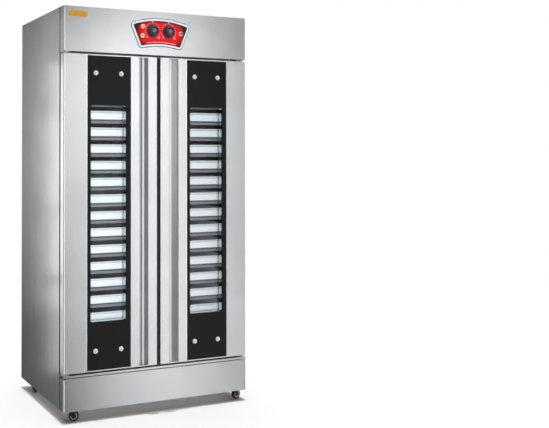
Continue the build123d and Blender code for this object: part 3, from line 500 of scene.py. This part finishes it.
def rounded_box(half_x, half_y, radius, steps=5):
    """A rectangle with rounded corners about the middle, from half its width and half its height."""
    return rounded([(-half_x, -half_y), (half_x, -half_y), (half_x, half_y), (-half_x, half_y)], [radius] * 4, steps)


def beside(path, distance, closed=False):
    """The path moved sideways: each point goes the distance along the normal, to the right of its run."""
    ends = path if not closed else np.concatenate([path[-1:], path, path[:1]])
    run = np.gradient(ends, axis=0) if not closed else (ends[2:] - ends[:-2])
    run = run / np.linalg.norm(run, axis=1, keepdims=True)
    return path + distance * np.stack([run[:, 1], -run[:, 0]], -1)


def lathe(profile, steps=32, ripple=None):
    """A profile of (radius, height) points turned round its axis: x = r cos t, y = r sin t, z = height.
    A ripple takes the profile's row and the angle and scales the radius."""
    profile = np.array(profile, float)
    t = np.linspace(0, 2 * np.pi, steps, endpoint=False)
    radius = np.repeat(profile[:, :1], steps, 1)
    if ripple is not None:
        radius = radius * ripple(np.arange(len(profile))[:, None], t[None, :])
    height = np.repeat(profile[:, 1:], steps, 1)
    points = np.stack([radius * np.cos(t), radius * np.sin(t), height], -1).reshape(-1, 3)
    return points, grid(len(profile), steps, close_cols=True)


def ring_shape(section, steps=48, ripple=None):
    """A closed section turned round its axis: a lathe whose last row joins its first."""
    return lathe(section, steps, ripple)[0], grid(len(section), steps, close_rows=True, close_cols=True)


def stood(rows, end):
    """Rows of one closed section, each above the last, with walls between. The end faces, given as point
    numbers of a row, close the lowest row and, moved up, the highest one."""
    count, top = len(rows[0]), (len(rows) - 1) * len(rows[0])
    walls = grid(len(rows), count, close_cols=True)
    return np.concatenate(rows), walls + end + [[k + top for k in face] for face in end]


def lifted(path, level, start, sign=1, front=0.0):
    """A flat section at one height: x counts from a start to one side, y from a front plane."""
    return np.stack([start + sign * path[:, 0], front + path[:, 1], np.full(len(path), level)], -1)


def whole(section):
    """One flat face over a section that bulges outwards everywhere."""
    return [list(range(len(section)))]


def between(count):
    """Flat faces over a bent sheet's section: a path of so many points, and its other face run backwards."""
    return [[k, k + 1, 2 * count - 2 - k, 2 * count - 1 - k] for k in range(count - 1)]


def placed(shape, origin, right=(1, 0, 0), up=(0, 0, 1)):
    """A shape set in place: its x runs along right, its y along up and its z towards the viewer of both."""
    points, faces = shape
    axes = np.stack([right, up, np.cross(right, up)])
    return np.array(origin, float) + points @ axes, faces


def joined(shapes):
    """Several shapes as one: the points follow each other and the faces count on from shape to shape."""
    starts = np.cumsum([0] + [len(points) for points, _ in shapes])
    faces = [[start + k for k in face] for start, (_, some) in zip(starts, shapes) for face in some]
    return np.concatenate([points for points, _ in shapes]), faces


def make(name, shape, body, slot, finish=None, stands_for=(), sharp=32):
    """Makes a piece from points in millimetres: merges doubled points, turns the normals outward, smooths all but the
    sharp edges, sets what it rides on and its finish (the slot's own unless another is named), and hides the solids
    it replaces."""
    points, faces = shape
    mesh = bpy.data.meshes.new(name)
    mesh.from_pydata((points * MM).tolist(), [], faces)
    shaping = bmesh.new()
    shaping.from_mesh(mesh)
    bmesh.ops.remove_doubles(shaping, verts=shaping.verts, dist=0.01 * MM)
    bmesh.ops.recalc_face_normals(shaping, faces=shaping.faces)
    shaping.to_mesh(mesh)
    shaping.free()
    mesh.shade_smooth()
    mesh.set_sharp_from_angle(angle=math.radians(sharp))
    mesh.materials.append(finishes[finish or slot])
    piece = bpy.data.objects.new(name, mesh)
    bpy.context.scene.collection.objects.link(piece)
    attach(piece, body)
    if stands_for:
        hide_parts(*stands_for)
    print(f"{name}: {len(mesh.vertices)} points, {len(mesh.polygons)} faces")
    return piece


# %% [markdown]
# ## Studs
# A polished stud is a turned cap nut: a low dome on a short collar, screwed through the black panel.
# The dome gathers one bright point from the lamps, which a flat cap never would.

# %% Domed studs
STUD_RADIUS, STUD_HEIGHT, STUD_SHANK, SHANK_DEPTH = 12.5, 7, 4, 4
dome = np.linspace(0, np.pi / 2, 8)[:-1]
stud_profile = [(11.2 * math.sin(a), 2.6 + (STUD_HEIGHT - 2.6) * math.cos(a)) for a in dome]
stud_profile += [(11.4, 2.6), (12.2, 2.2), (STUD_RADIUS, 1.4), (STUD_RADIUS, 0)]
stud_profile += [(STUD_SHANK, 0), (STUD_SHANK, -SHANK_DEPTH), (0, -SHANK_DEPTH)]
for side in ("left", "right"):
    low, high = corners(f"panel_studs_{side}")
    places = [(x, FRONT_Y + SHEET, z) for x in (low[0] + STUD_RADIUS, high[0] - STUD_RADIUS)
              for z in (low[2] + STUD_RADIUS, high[2] - STUD_RADIUS)]
    studs = joined([placed(lathe(stud_profile, 40), place) for place in places])
    make(f"studs_{side}", studs, f"door_{side}", "stud_chrome", stands_for=[f"panel_studs_{side}"], sharp=50)

# %% [markdown]
# ## Pulls
# The recessed pull is one aluminium extrusion: a hollow ramp slopes in from the side of the black panel,
# levels out in a narrow land and then drops into a deep groove whose lip folds back over the fingers. The
# die's corners are rounded, so the land carries a soft bright line from top to bottom. Flat plugs close
# the ends.

# %% Trough handles
WALL_DEPTH, LAND_DEPTH, MOUTH_EDGE, PLUG_INSET = 13, 23, 0.3, 0.1
for side, sign in (("left", 1), ("right", -1)):
    low, high = corners(f"handle_profile_{side}")
    wide = high[0] - low[0]
    mouth = wide - HANDLE_UNDERCUT - 2 * HANDLE_WALL
    far = mouth + HANDLE_UNDERCUT
    inner = rounded(
        [(0, MOUTH_EDGE), (0, WALL_DEPTH), (28, LAND_DEPTH), (41, LAND_DEPTH), (58, HANDLE_DEPTH),
         (far, HANDLE_DEPTH), (far, HANDLE_LIP), (mouth, HANDLE_LIP), (mouth, MOUTH_EDGE)],
        [0, 2, 8, 3, 4, 9, 5, 1.2, 0],
        8,
    )
    outer = beside(inner, -HANDLE_WALL)
    outer[0], outer[-1] = (-HANDLE_WALL, SHEET), (mouth + HANDLE_WALL, SHEET)
    outer[-2:, 1] = np.minimum(outer[-2:, 1], HANDLE_LIP - HANDLE_WALL + 1)
    start = low[0] + HANDLE_WALL if sign > 0 else high[0] - HANDLE_WALL
    bottom, top = low[2], high[2]
    loop = np.concatenate([inner, outer[::-1]])
    levels = [bottom, bottom + HANDLE_WALL, (bottom + top) / 2, top - HANDLE_WALL, top]
    wall = stood([lifted(loop, z, start, sign, FRONT_Y) for z in levels], between(len(inner)))
    plug_levels = bottom + HANDLE_WALL + PLUG_INSET, top - HANDLE_WALL - PLUG_INSET
    plugs = [(lifted(inner, z, start, sign, FRONT_Y), whole(inner)) for z in plug_levels]
    make(f"pull_{side}", joined([wall, *plugs]), f"door_{side}", "handle_aluminium",
         stands_for=[f"handle_profile_{side}"])

# %% [markdown]
# ## Side seams and hems
# The front frame meets each side panel in a step of the sheet, and the step is filled with a black bead of sealant
# that runs from the header to the foot of the kick panel. On the doors the skin's edge is folded flat beside the
# black panel, and the fold carries a painted highlight: a paler strip that shows as one bright line.

# %% Stepped side panels and their bead
SEAM, STEP, BEND = 13, 1.3, 4
for side, sign in (("left", 1), ("right", -1)):
    low, high = corners(f"side_panel_{side}")
    outside, back = (low[0] if sign > 0 else high[0]), high[1]
    folded = high[0] - low[0]
    stepped = [(folded, low[1]), (STEP, low[1]), (STEP, low[1] + SEAM), (0, low[1] + SEAM + 0.6)]
    plan = rounded(stepped + [(0, back), (folded, back)], [0, 2.2, 0, 0, BEND, 0])
    thick = beside(plan, SHEET)
    thick[:, 1] = np.clip(thick[:, 1], low[1], back)
    section = np.concatenate([plan, thick[::-1]])
    panel = stood([lifted(section, z, outside, sign) for z in (low[2], high[2])], between(len(plan)))
    make(f"stepped_side_{side}", panel, "cabinet", "cabinet_steel", stands_for=[f"side_panel_{side}"], sharp=10)
    bead = rounded(
        [(0.5, low[1]), (0.15, low[1] + 1), (0.15, low[1] + SEAM - 1), (0.5, low[1] + SEAM), (STEP, low[1] + SEAM),
         (STEP, low[1])],
        [0, 0.4, 0.4, 0, 0, 0],
        3,
    )
    filling = stood([lifted(bead, z, outside, sign) for z in (low[2] + 1, high[2] - 1)], whole(bead))
    make(f"seam_bead_{side}", filling, "cabinet", "seal_rubber")

# %% Folds with painted highlights
HINGE_STILE_X, FOOT_STILE, GLASS_END = 383, 154, 5
FOLD_FROM, FOLD_TO, FOLD_RISE = -0.8, 3.4, 0.5
LIP_FROM, LIP_TO, LIP_RISE = -0.5, 3.0, 0.4
ROLL_WIDTH, ROLL_RISE, ROLL_LEAN = 3, 0.05, 0.13
SUNK, EASED = 0.2, 0.4


def edging(name, part, left, right, rise, slot, finish=None, lean=0.0):
    """A flat strip along the front of a part from one x to another, with eased edges. Where it leans, its
    left edge stands that much further forward than its right edge."""
    low, high = corners(part)
    section = [(left, SUNK), (left, -rise / 2), (left + EASED, -rise - lean), (right - EASED, -rise),
               (right, -rise / 2), (right, SUNK)]
    levels = low[2] + GLASS_END, high[2] - GLASS_END
    strip = stood([lifted(np.array(section), z, 0, 1, low[1]) for z in levels], whole(section))
    body = part.replace("door_skin", "door") if "door" in part else "cabinet"
    make(name, strip, body, slot, finish, sharp=1)


# The outer folds get the paler finish, a painted highlight; the inner edges get a black rubber lip.
for side, sheet_end in (("left", -HINGE_STILE_X), ("right", FOOT_STILE)):
    edging(f"fold_{side}", f"door_skin_{side}", sheet_end + FOLD_FROM, sheet_end + FOLD_TO, FOLD_RISE,
           "door_steel", "painted_highlight_edge")
for side, glass_end in (("left", -FOOT_STILE), ("right", HINGE_STILE_X)):
    edging(f"lip_{side}", f"door_skin_{side}", glass_end + LIP_FROM, glass_end + LIP_TO, LIP_RISE, "seal_rubber")

# The sheet rolls forward by a hair before it turns the corner, and the roll carries a painted highlight: a paler
# strip along the corner.
for part in ("header_fascia", "kick_panel", "door_skin_left"):
    edge, front, _ = next(corners(part))
    start = edge + BEND
    edging(f"roll_{part}", part, start, start + ROLL_WIDTH, ROLL_RISE, slots[part], "painted_highlight_edge", ROLL_LEAN)
    print(f"{part} rolls at x {start:.2f} mm, front plane y {front:.2f} mm")

# %% [markdown]
# ## Trays
# Bakery trays are pressed from one aluminium blank: rounded corners, walls that lean out so that the trays nest, and
# a rim whose edge is folded down into a hem. Seen through the window each tray is a bright band; painted shade
# darkens its bottom corner and lays a fine dark line under its rim where the hem ends.

# %% Pressed trays
def pan_ring(inset, height, radius, half_x, half_y):
    """The tray's outline, inset from its outside, at one height."""
    path = rounded_box(half_x - inset, half_y - inset, radius)
    return np.concatenate([path, np.full((len(path), 1), height)], 1)


# Each ring: inset, height, corner radius and how much painted shade darkens the metal there: most under the bottom
# corner, less round the rim and hem.
TRAY_RINGS = [
    (TRAY_RIM + TRAY_TAPER + 9, 0, 14, 1),
    (TRAY_RIM + TRAY_TAPER + 4.5, 1, 16, 1),
    (TRAY_RIM + TRAY_TAPER + 1, 4.2, 18, 0.9),
    (TRAY_RIM + TRAY_TAPER - 1, 8.5, 19, 0.8),
    (TRAY_RIM + TRAY_TAPER - 1.3, 9.8, 19, 0),
    (TRAY_RIM + 0.3, 38, 22, 0),
    (TRAY_RIM, 40, 22, 0.5),
    (TRAY_RIM, 45, 22, 0.6),
    (TRAY_RIM - 1.5, 48, 23, 0.6),
    (1.4, 48.4, 26, 0.6),
    (1.2, 42.5, 26, 0.6),
    (0.5, 41.6, 27, 0.55),
    (0, 42.5, 27, 0.28),
    (0, 48.2, 27, 0.28),
    (1.5, TRAY_HEIGHT, 26, 0.1),
    (TRAY_RIM - 1, TRAY_HEIGHT, 22, 0.1),
    (TRAY_RIM + 1, 48.8, 20, 0.3),
    (TRAY_RIM + TRAY_TAPER + 0.6, 10, 18, 0.5),
    (TRAY_RIM + TRAY_TAPER + 2.8, 5, 16, 0.5),
    (TRAY_RIM + TRAY_TAPER + 10, TRAY_WALL, 12, 0.3),
]
# Painted shade on the trays: each ring's share takes the aluminium towards #4A5054.
painted_tray_shade = add(finishes["tray_metal"].node_tree, "ShaderNodeAttribute", attribute_name="painted_tray_shade").outputs["Fac"]
shaded("tray_metal", painted_tray_shade, "#4A5054")
for side in ("left", "right"):
    low, high = corners(f"trays_{side}")
    half_x, half_y = (high[0] - low[0]) / 2, (high[1] - low[1]) / 2
    pitch = (high[2] - low[2] - TRAY_HEIGHT) / (TRAY_LEVELS - 1)
    rings = [pan_ring(*ring[:3], half_x, half_y) for ring in TRAY_RINGS]
    tray, faces = stood(rings, whole(rings[0]))
    seat = np.array([low[0] + half_x, low[1] + half_y, low[2]])
    stack = [(tray + seat + (0, 0, step * pitch), faces) for step in range(TRAY_LEVELS)]
    trays = make(f"pressed_trays_{side}", joined(stack), "cabinet", "tray_metal", stands_for=[f"trays_{side}"])
    tray_shade_levels = np.tile(np.repeat([ring[3] for ring in TRAY_RINGS], len(rings[0])), TRAY_LEVELS)
    trays.data.attributes.new("painted_tray_shade", "FLOAT", "POINT").data.foreach_set("value", tray_shade_levels.astype(np.float32))

# %% [markdown]
# ## Control panel
# The fan-shaped plate is printed aluminium under clear lacquer: red, with painted shade that darkens it towards its
# edges and corners. It sits in a crowned silver-painted bezel on a thin black gasket. The dials' marks and numbers
# are screen printed.

# %% The panel's outline
PANEL_X = centre_of("control_plate")[0]
PANEL_SHOULDER, PANEL_FOOT = HEADER_TOP - PANEL_SHOULDER_DROP, HEADER_TOP - PANEL_FOOT_DROP
PLATE_Y = FRONT_Y - PLATE_THICKNESS
ARC_POINTS = 13
across = np.linspace(-1, 1, ARC_POINTS)
top_arc = np.stack([PANEL_TOP_HALF * across, PANEL_SHOULDER + PANEL_TOP_RISE * (1 - across**2)], -1)
foot_arc = np.stack([-PANEL_FOOT_HALF * across, PANEL_FOOT + PANEL_FOOT_RISE * (1 - across**2)], -1)
fan = np.concatenate([top_arc, foot_arc])
fan_radii = np.zeros(len(fan))
fan_radii[[0, ARC_POINTS - 1, ARC_POINTS, -1]] = PANEL_CORNER
fan = rounded(fan, fan_radii, 6)
print(f"the panel spans {np.ptp(fan[:, 0]):.0f} by {np.ptp(fan[:, 1]):.0f} mm, its middle at x {PANEL_X:.1f} mm")


def on_front(path, out):
    """Points of a flat drawing on the header: x from the panel's middle, z the level, out in front."""
    out = np.broadcast_to(out, path.shape[:-1])
    return np.stack([PANEL_X + path[..., 0], FRONT_Y - out, path[..., 1]], -1)


def banded(section, name, slot, finish=None):
    """A section of (distance outside the fan, height) points carried round the panel's outline."""
    lines = [on_front(beside(fan, -distance, closed=True), height) for distance, height in section]
    shape = np.concatenate(lines), grid(len(lines), len(fan), close_rows=True, close_cols=True)
    return make(name, shape, "cabinet", slot, finish)


# %% Bezel and gasket
crown = rounded([(0, 0), (0, 4.2), (3, BEZEL_HEIGHT), (7, BEZEL_HEIGHT), (BEZEL_WIDTH, 3), (BEZEL_WIDTH, 0)],
                [0, 1.6, 3, 3, 1.5, 0], 4)
bezel = banded(crown, "fan_bezel", "bezel_chrome")
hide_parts("control_bezel")
gasket = [(BEZEL_WIDTH, 0), (BEZEL_WIDTH, 1), (BEZEL_WIDTH + 2.6, 0.9), (BEZEL_WIDTH + 3.2, 0)]
banded(gasket, "bezel_gasket", "seal_rubber")

# %% Printed plate
ROWS, COLS = 40, 90
u, v = np.meshgrid(np.linspace(-1, 1, COLS), np.linspace(0, 1, ROWS))
half = PANEL_FOOT_HALF + (PANEL_TOP_HALF - PANEL_FOOT_HALF) * v
foot_line = PANEL_FOOT + PANEL_FOOT_RISE * (1 - u**2)
top_line = PANEL_SHOULDER + PANEL_TOP_RISE * (1 - u**2)
plate_path = np.stack([u * half, foot_line + (top_line - foot_line) * v], -1)
front_face = on_front(plate_path, PLATE_THICKNESS).reshape(-1, 3)
number = np.arange(ROWS * COLS).reshape(ROWS, COLS)
border = np.concatenate([number[0], number[1:, -1], number[-1, -2::-1], number[-2:0:-1, 0]])
edge = np.concatenate([front_face[border], front_face[border] + (0, PLATE_THICKNESS, 0)])
plate_shape = joined([(front_face, grid(ROWS, COLS)), (edge, grid(2, len(border), close_cols=True))])
plate = make("printed_plate", plate_shape, "cabinet", "panel_red", stands_for=["control_plate"])


def fade(distance, reach):
    """How deep the painted shade is at a distance from an edge: exp(-(distance / reach) squared)."""
    return np.exp(-((distance / reach) ** 2))


where = np.empty(len(plate.data.vertices) * 3)
plate.data.vertices.foreach_get("co", where)
x, level = where.reshape(-1, 3)[:, 0] / MM - PANEL_X, where.reshape(-1, 3)[:, 2] / MM
share = np.clip((level - PANEL_FOOT) / (PANEL_SHOULDER - PANEL_FOOT), 0, 1.2)
to_side = PANEL_FOOT_HALF + (PANEL_TOP_HALF - PANEL_FOOT_HALF) * share - np.abs(x)
to_top = PANEL_SHOULDER + PANEL_TOP_RISE * (1 - (x / PANEL_TOP_HALF) ** 2) - level
to_foot = level - PANEL_FOOT - PANEL_FOOT_RISE * (1 - (x / PANEL_FOOT_HALF) ** 2)
# Painted shade: the red is darkened towards the plate's sides, top, foot and corners, the sides more towards the top.
dark = 0.95 * fade(to_side, 22) * (0.35 + 0.65 * share) + 0.9 * fade(to_top, 11) + 0.75 * fade(to_foot, 7)
dark += 0.8 * fade(np.hypot(to_side, to_top), 40) + 0.6 * fade(np.hypot(to_side, to_foot), 26)
tone = plate.data.attributes.new("painted_edge_shade", "FLOAT", "POINT")
tone.data.foreach_set("value", np.clip(dark, 0, 1))

# The painted shade takes the red towards #1E0406.
shade = add(finishes["panel_red"].node_tree, "ShaderNodeAttribute", attribute_name="painted_edge_shade").outputs["Fac"]
shaded("panel_red", shade, "#1E0406")

# %% Printed marks
KNOB_LEVEL = PANEL_SHOULDER - KNOB_DROP
PRINT, DIAL_TURN, TICKS, TICK_REACH, RULE_RISE = 0.12, 135, 19, KNOB_RADIUS + 7, 9
NUMBER_HEIGHT, NUMBER_REACH, TOP_NUMBER_REACH = 8, KNOB_RADIUS + 14, KNOB_RADIUS + 12.5


def bar(middle, along, length, width):
    """One flat printed bar: its middle, its direction and its size, a hair proud of the plate."""
    along = np.array(along)
    side = np.array([-along[1], along[0]])
    quarters = ((-1, -1), (1, -1), (1, 1), (-1, 1))
    ends = np.array([middle + along * length / 2 * a + side * width / 2 * b for a, b in quarters])
    points = np.concatenate([on_front(ends, PLATE_THICKNESS), on_front(ends, PLATE_THICKNESS + PRINT)])
    return points, [[4, 5, 6, 7]] + grid(2, 4, close_cols=True)


marks = []
for knob_x in (-KNOB_SPREAD, KNOB_SPREAD):
    for turn in np.radians(np.linspace(-DIAL_TURN, DIAL_TURN, TICKS)):
        towards = np.array([math.sin(turn), math.cos(turn)])
        if abs(knob_x + TICK_REACH * towards[0]) > 4:
            marks.append(bar(np.array([knob_x, KNOB_LEVEL]) + TICK_REACH * towards, towards, 4.5, 0.9))
rule = np.linspace(-78, 86, 12)
rule_level = PANEL_FOOT + PANEL_FOOT_RISE * (1 - (rule / PANEL_FOOT_HALF) ** 2) + RULE_RISE
for k in range(len(rule) - 1):
    step = np.array([rule[k + 1] - rule[k], rule_level[k + 1] - rule_level[k]])
    middle = np.array([rule[k] + step[0] / 2, rule_level[k] + step[1] / 2])
    marks.append(bar(middle, step / np.linalg.norm(step), np.linalg.norm(step) - 2.5, 1.1))


def numeral(text, x, level, height):
    """A plain number as a flat mesh on the plate, taken from Blender's own typeface."""
    curve = bpy.data.curves.new("number", "FONT")
    curve.body, curve.size = text, height
    curve.align_x, curve.align_y = "CENTER", "CENTER"
    holder = bpy.data.objects.new("number", curve)
    mesh = bpy.data.meshes.new_from_object(holder)
    flat = np.empty(len(mesh.vertices) * 3)
    mesh.vertices.foreach_get("co", flat)
    flat = flat.reshape(-1, 3)[:, :2] + (x, level)
    return on_front(flat, PLATE_THICKNESS + PRINT), [list(face.vertices) for face in mesh.polygons]


for knob_x, numbers in ((-KNOB_SPREAD, ("0", "30", "60")), (KNOB_SPREAD, ("0", "50", "99"))):
    for text, turn in zip(numbers, (-DIAL_TURN, 0, DIAL_TURN)):
        reach = NUMBER_REACH if turn else TOP_NUMBER_REACH
        x = knob_x + reach * math.sin(math.radians(turn))
        marks.append(numeral(text, x, KNOB_LEVEL + reach * math.cos(math.radians(turn)), NUMBER_HEIGHT))
make("dial_print", joined(marks), "cabinet", "panel_red", "white_print")

# %% [markdown]
# ## Knobs, lamps and button
# The knobs are moulded: a wide skirt with a small pointer tab, a grip whose flutes keep wet fingers
# from slipping, and a pressed cap over the screw. Flutes are a ripple in the radius. The lenses are
# shallow domes held by cream moulded rings.

# %% Knobs
FLUTES, FLUTE_DEPTH, TAB_REACH, TAB_WIDTH = 14, 0.085, 0.07, 0.2
skirt = [(0, -0.1), (KNOB_RADIUS - 1, -0.1), (KNOB_RADIUS, 0.6), (KNOB_RADIUS, 1.8), (KNOB_RADIUS - 1.5, 3.6),
         (KNOB_GRIP + 1.8, KNOB_SKIRT - 0.6), (KNOB_GRIP + 0.4, KNOB_SKIRT)]
grip = [(KNOB_GRIP, KNOB_SKIRT + 1), (KNOB_GRIP - 1.4, 13), (KNOB_GRIP - 3, 20), (KNOB_GRIP - 4, 23.6),
        (KNOB_GRIP - 5.4, 25.1), (KNOB_GRIP - 8, KNOB_HEIGHT - 0.2)]
face = [(17, 24.6), (12.5, 23.6), (11.4, 23.4)]
knob_profile = skirt + grip + face
cap_profile = [(11, 22.9), (11, 24.3), (10.2, 25.1), (6, KNOB_HEIGHT - 0.1), (0, KNOB_HEIGHT)]
tab_rows = len(skirt) - 1
grip_rows = (len(skirt), len(skirt) + len(grip) - 1)
spindle = [(0, 0), (3, 0), (3, -30), (0, -30)]


def knob_ripple(row, t):
    """Flutes on the grip: 1 - depth |sin(n t / 2)| to the fourth. Tab on the skirt: a narrow bump below."""
    on_grip = (row >= grip_rows[0]) & (row < grip_rows[1])
    flute = 1 - FLUTE_DEPTH * on_grip * np.abs(np.sin(FLUTES * t / 2)) ** 4
    below = np.angle(np.exp(1j * (t + np.pi / 2)))
    tab = 1 + TAB_REACH * ((row > 0) & (row < tab_rows)) * np.exp(-((below / TAB_WIDTH) ** 4))
    return flute * tab


for side in ("left", "right"):
    front = next(corners(f"knob_{side}"))[1]
    origin = (centre_of(f"knob_{side}")[0], front + KNOB_HEIGHT, KNOB_LEVEL)
    body = joined([placed(lathe(knob_profile, 168, knob_ripple), origin),
                   placed(lathe(spindle, 24), origin)])
    make(f"dial_knob_{side}", body, f"knob_{side}", "knob_black", stands_for=[f"knob_{side}"], sharp=40)
    make(f"knob_cap_{side}", placed(lathe(cap_profile, 48), origin), f"knob_{side}", "knob_black", "cap_grey")

# %% Lenses and button
SEAT_DEPTH, BOSS = -26, 6.7
lens = [(0, LENS_HEIGHT)] + [(6.6 * math.sin(a), 1.2 + 1.8 * math.cos(a)) for a in np.linspace(0.2, 1.5, 7)]
lens += [(BOSS, 0), (6.2, 0), (6.2, SEAT_DEPTH), (0, SEAT_DEPTH)]
ring = rounded([(BOSS, 0), (BOSS, 2.0), (7.9, LENS_HEIGHT), (LENS_RADIUS, 1.6), (LENS_RADIUS, 0)],
               [0, 0.5, 0.9, 0.5, 0], 4)
for node, slot in (("lamp_heating", "lamp_amber"), ("lamp_ready", "lamp_green")):
    x, _, level = centre_of(node)
    make(f"{node}_lens", placed(lathe(lens, 40), (x, PLATE_Y, level)), "cabinet", slot, stands_for=[node], sharp=50)
    make(f"{node}_ring", placed(lathe(ring, 48), (x, PLATE_Y, level)), "cabinet", "ring_chrome")

# %% Push button
x, _, level = centre_of("button_housing")
housing = rounded(
    [(7.4, SEAT_DEPTH), (7.4, 2.4), (8.2, RING_HEIGHT), (9.4, RING_HEIGHT), (BUTTON_RING, 1.8), (BUTTON_RING, 0),
     (9.5, 0), (9.5, SEAT_DEPTH)],
    [0, 0.4, 0.5, 0.6, 0.5, 0, 0, 0],
    4,
)
make("button_ring", placed(ring_shape(housing), (x, PLATE_Y, level)), "cabinet", "ring_chrome",
     stands_for=["button_housing"])
low, high = corners("push_button")
reach = high[1] - low[1]
cap = rounded(
    [(0, reach - 0.8), (3.6, reach - 0.6), (5.6, reach), (BUTTON_RADIUS, reach - 1), (BUTTON_RADIUS, 0), (0, 0)],
    [0, 0.8, 0.5, 0.8, 0.3, 0],
    4,
)
x, _, level = centre_of("push_button")
make("button_cap", placed(lathe(cap, 48), (x, high[1], level)), "push_button", "button_red",
     stands_for=["push_button"])

# %% [markdown]
# ## Bare plate
# A small gold lacquered plate is riveted at the header's upper left. Nothing is written on it: it has
# only its pressed border and two rivets.

# %% Gold plate
PLATE_WIDE, PLATE_TALL, PLATE_RISE, RIVET_SPREAD = 92, 27, 0.9, 39
PLATE_INSET, PLATE_DROP = 75, 36
middle = np.array([header_low[0] + PLATE_INSET, HEADER_TOP - PLATE_DROP])


def tablet(inset, out, radius):
    """The plate's outline, inset and lifted off the header."""
    path = rounded_box(PLATE_WIDE / 2 - inset, PLATE_TALL / 2 - inset, radius) + middle
    return np.stack([path[:, 0], np.full(len(path), FRONT_Y - out), path[:, 1]], -1)


rings = [tablet(0, 0, 3), tablet(0, 0.6, 3), tablet(0.5, PLATE_RISE, 2.6), tablet(2.6, PLATE_RISE, 2)]
rings.append(tablet(3.2, 0.6, 1.6))
count = len(rings[0])
faces = grid(len(rings), count, close_cols=True) + [list(range((len(rings) - 1) * count, len(rings) * count))]
make("bare_plate", (np.concatenate(rings), faces), "cabinet", "ring_chrome", "yellow_lacquer")
rivet = [(0, 1.6), (1.1, 1.4), (1.9, 0.8), (2.1, 0)]
rivets = [placed(lathe(rivet, 16), (middle[0] + x, FRONT_Y - 0.5, middle[1])) for x in (-RIVET_SPREAD, RIVET_SPREAD)]
make("plate_rivets", joined(rivets), "cabinet", "ring_chrome")

# %% [markdown]
# ## Castors
# Small twin-shouldered swivel castors: a black rubber tyre with a rounded tread round a dark nylon
# wheel centre, whose dished face has a rim, a boss and a bright plated trim ring.

# %% Tyres and wheel centres
TREAD = WHEEL_RADIUS - 0.02
tread = rounded([(HUB_RADIUS, -9.4), (20, -10), (23.4, -9.2), (TREAD, -5), (TREAD, 5), (23.4, 9.2), (20, 10),
                 (HUB_RADIUS, 9.4)], [0, 1, 2.5, 5, 5, 2.5, 1, 0], 4)
face = [(AXLE_BORE, 9), (7.2, 9), (7.8, 8.4), (8.2, 6), (12.6, 5.2), (13.8, 6), (14.4, 8.6), (15, 9), (HUB_RADIUS, 9)]
disc = [(radius, -out) for radius, out in face] + face[::-1]
trim = [(13.4, 5), (13.9, 9.2), (14.4, 9.6), (15.6, 9.6), (16.1, 9.2), (16.1, 8.8)]
turned_parts = (("tyre", tread, "tyre_black", "castor_tyre"), ("wheel", disc, "hub_grey", "castor_hub"))
for corner, turned in CASTOR_TURNS.items():
    heading = math.radians(turned)
    along = (math.cos(heading), math.sin(heading), 0)
    hub_middle = centre_of(f"castor_hub_{corner}")
    for name, profile, slot, node in turned_parts:
        shape = placed(ring_shape(profile), hub_middle, along)
        make(f"{name}_{corner}", shape, f"wheel_{corner}", slot, stands_for=[f"{node}_{corner}"], sharp=40)
    trims = [placed(ring_shape([(r, flip * y) for r, y in trim]), hub_middle, along) for flip in (-1, 1)]
    make(f"trim_{corner}", joined(trims), f"wheel_{corner}", "hub_grey", "trim_bright")

# %% [markdown]
# ## Back
# The back sheet is held by a row of pan-head screws along each return, and the cord's gland has a
# flanged body and a ribbed clamping nut. Both were added because the back is plain without them.

# %% Back screws
SCREW_INSET, UPRIGHT_SCREWS, LEVEL_SCREWS = 9, 9, 5
low, high = corners("back_panel")
screw = [(0, 1.0), (1.2, 1.0), (1.5, 1.9), (2.6, 2.0), (3.7, 1.5), (4.2, 0.6), (4.2, 0)]
sides, ends = (low[0] + SCREW_INSET, high[0] - SCREW_INSET), (low[2] + SCREW_INSET, high[2] - SCREW_INSET)
spots = [(x, z) for x in sides for z in np.linspace(low[2] + 40, high[2] - 40, UPRIGHT_SCREWS)]
spots += [(x, z) for z in ends for x in np.linspace(low[0] + 150, high[0] - 150, LEVEL_SCREWS)]
screws = [placed(lathe(screw, 14), (x, high[1], z), right=(-1, 0, 0)) for x, z in spots]
make("back_screws", joined(screws), "cabinet", "stud_chrome")

# %% Gland
gland = rounded(
    [(5, -16), (10, -16), (10, 0), (14, 0), (14, 3), (11.4, 3), (11.4, 5), (12.8, 5.4), (12.8, 12.2), (9.6, 15.6),
     (6.4, 16), (5, 15)],
    [0, 0.5, 0, 0.6, 0.8, 0, 0, 0.5, 1, 2, 0.8, 0],
    3,
)
RIB_ROWS, RIBS, RIB_DEPTH = (12, len(gland) - 8), 14, 0.05


def gland_ripple(row, t):
    """Ribs round the clamping nut: the radius drops by a share wherever cos(n t) is above nought."""
    return 1 - RIB_DEPTH * (row > RIB_ROWS[0]) * (row < RIB_ROWS[1]) * (np.cos(RIBS * t) > 0)


ribbed = placed(ring_shape(gland, 84, gland_ripple), centre_of("cord_gland"), right=(-1, 0, 0))
make("ribbed_gland", ribbed, "cabinet", "gland_black", stands_for=["cord_gland"])
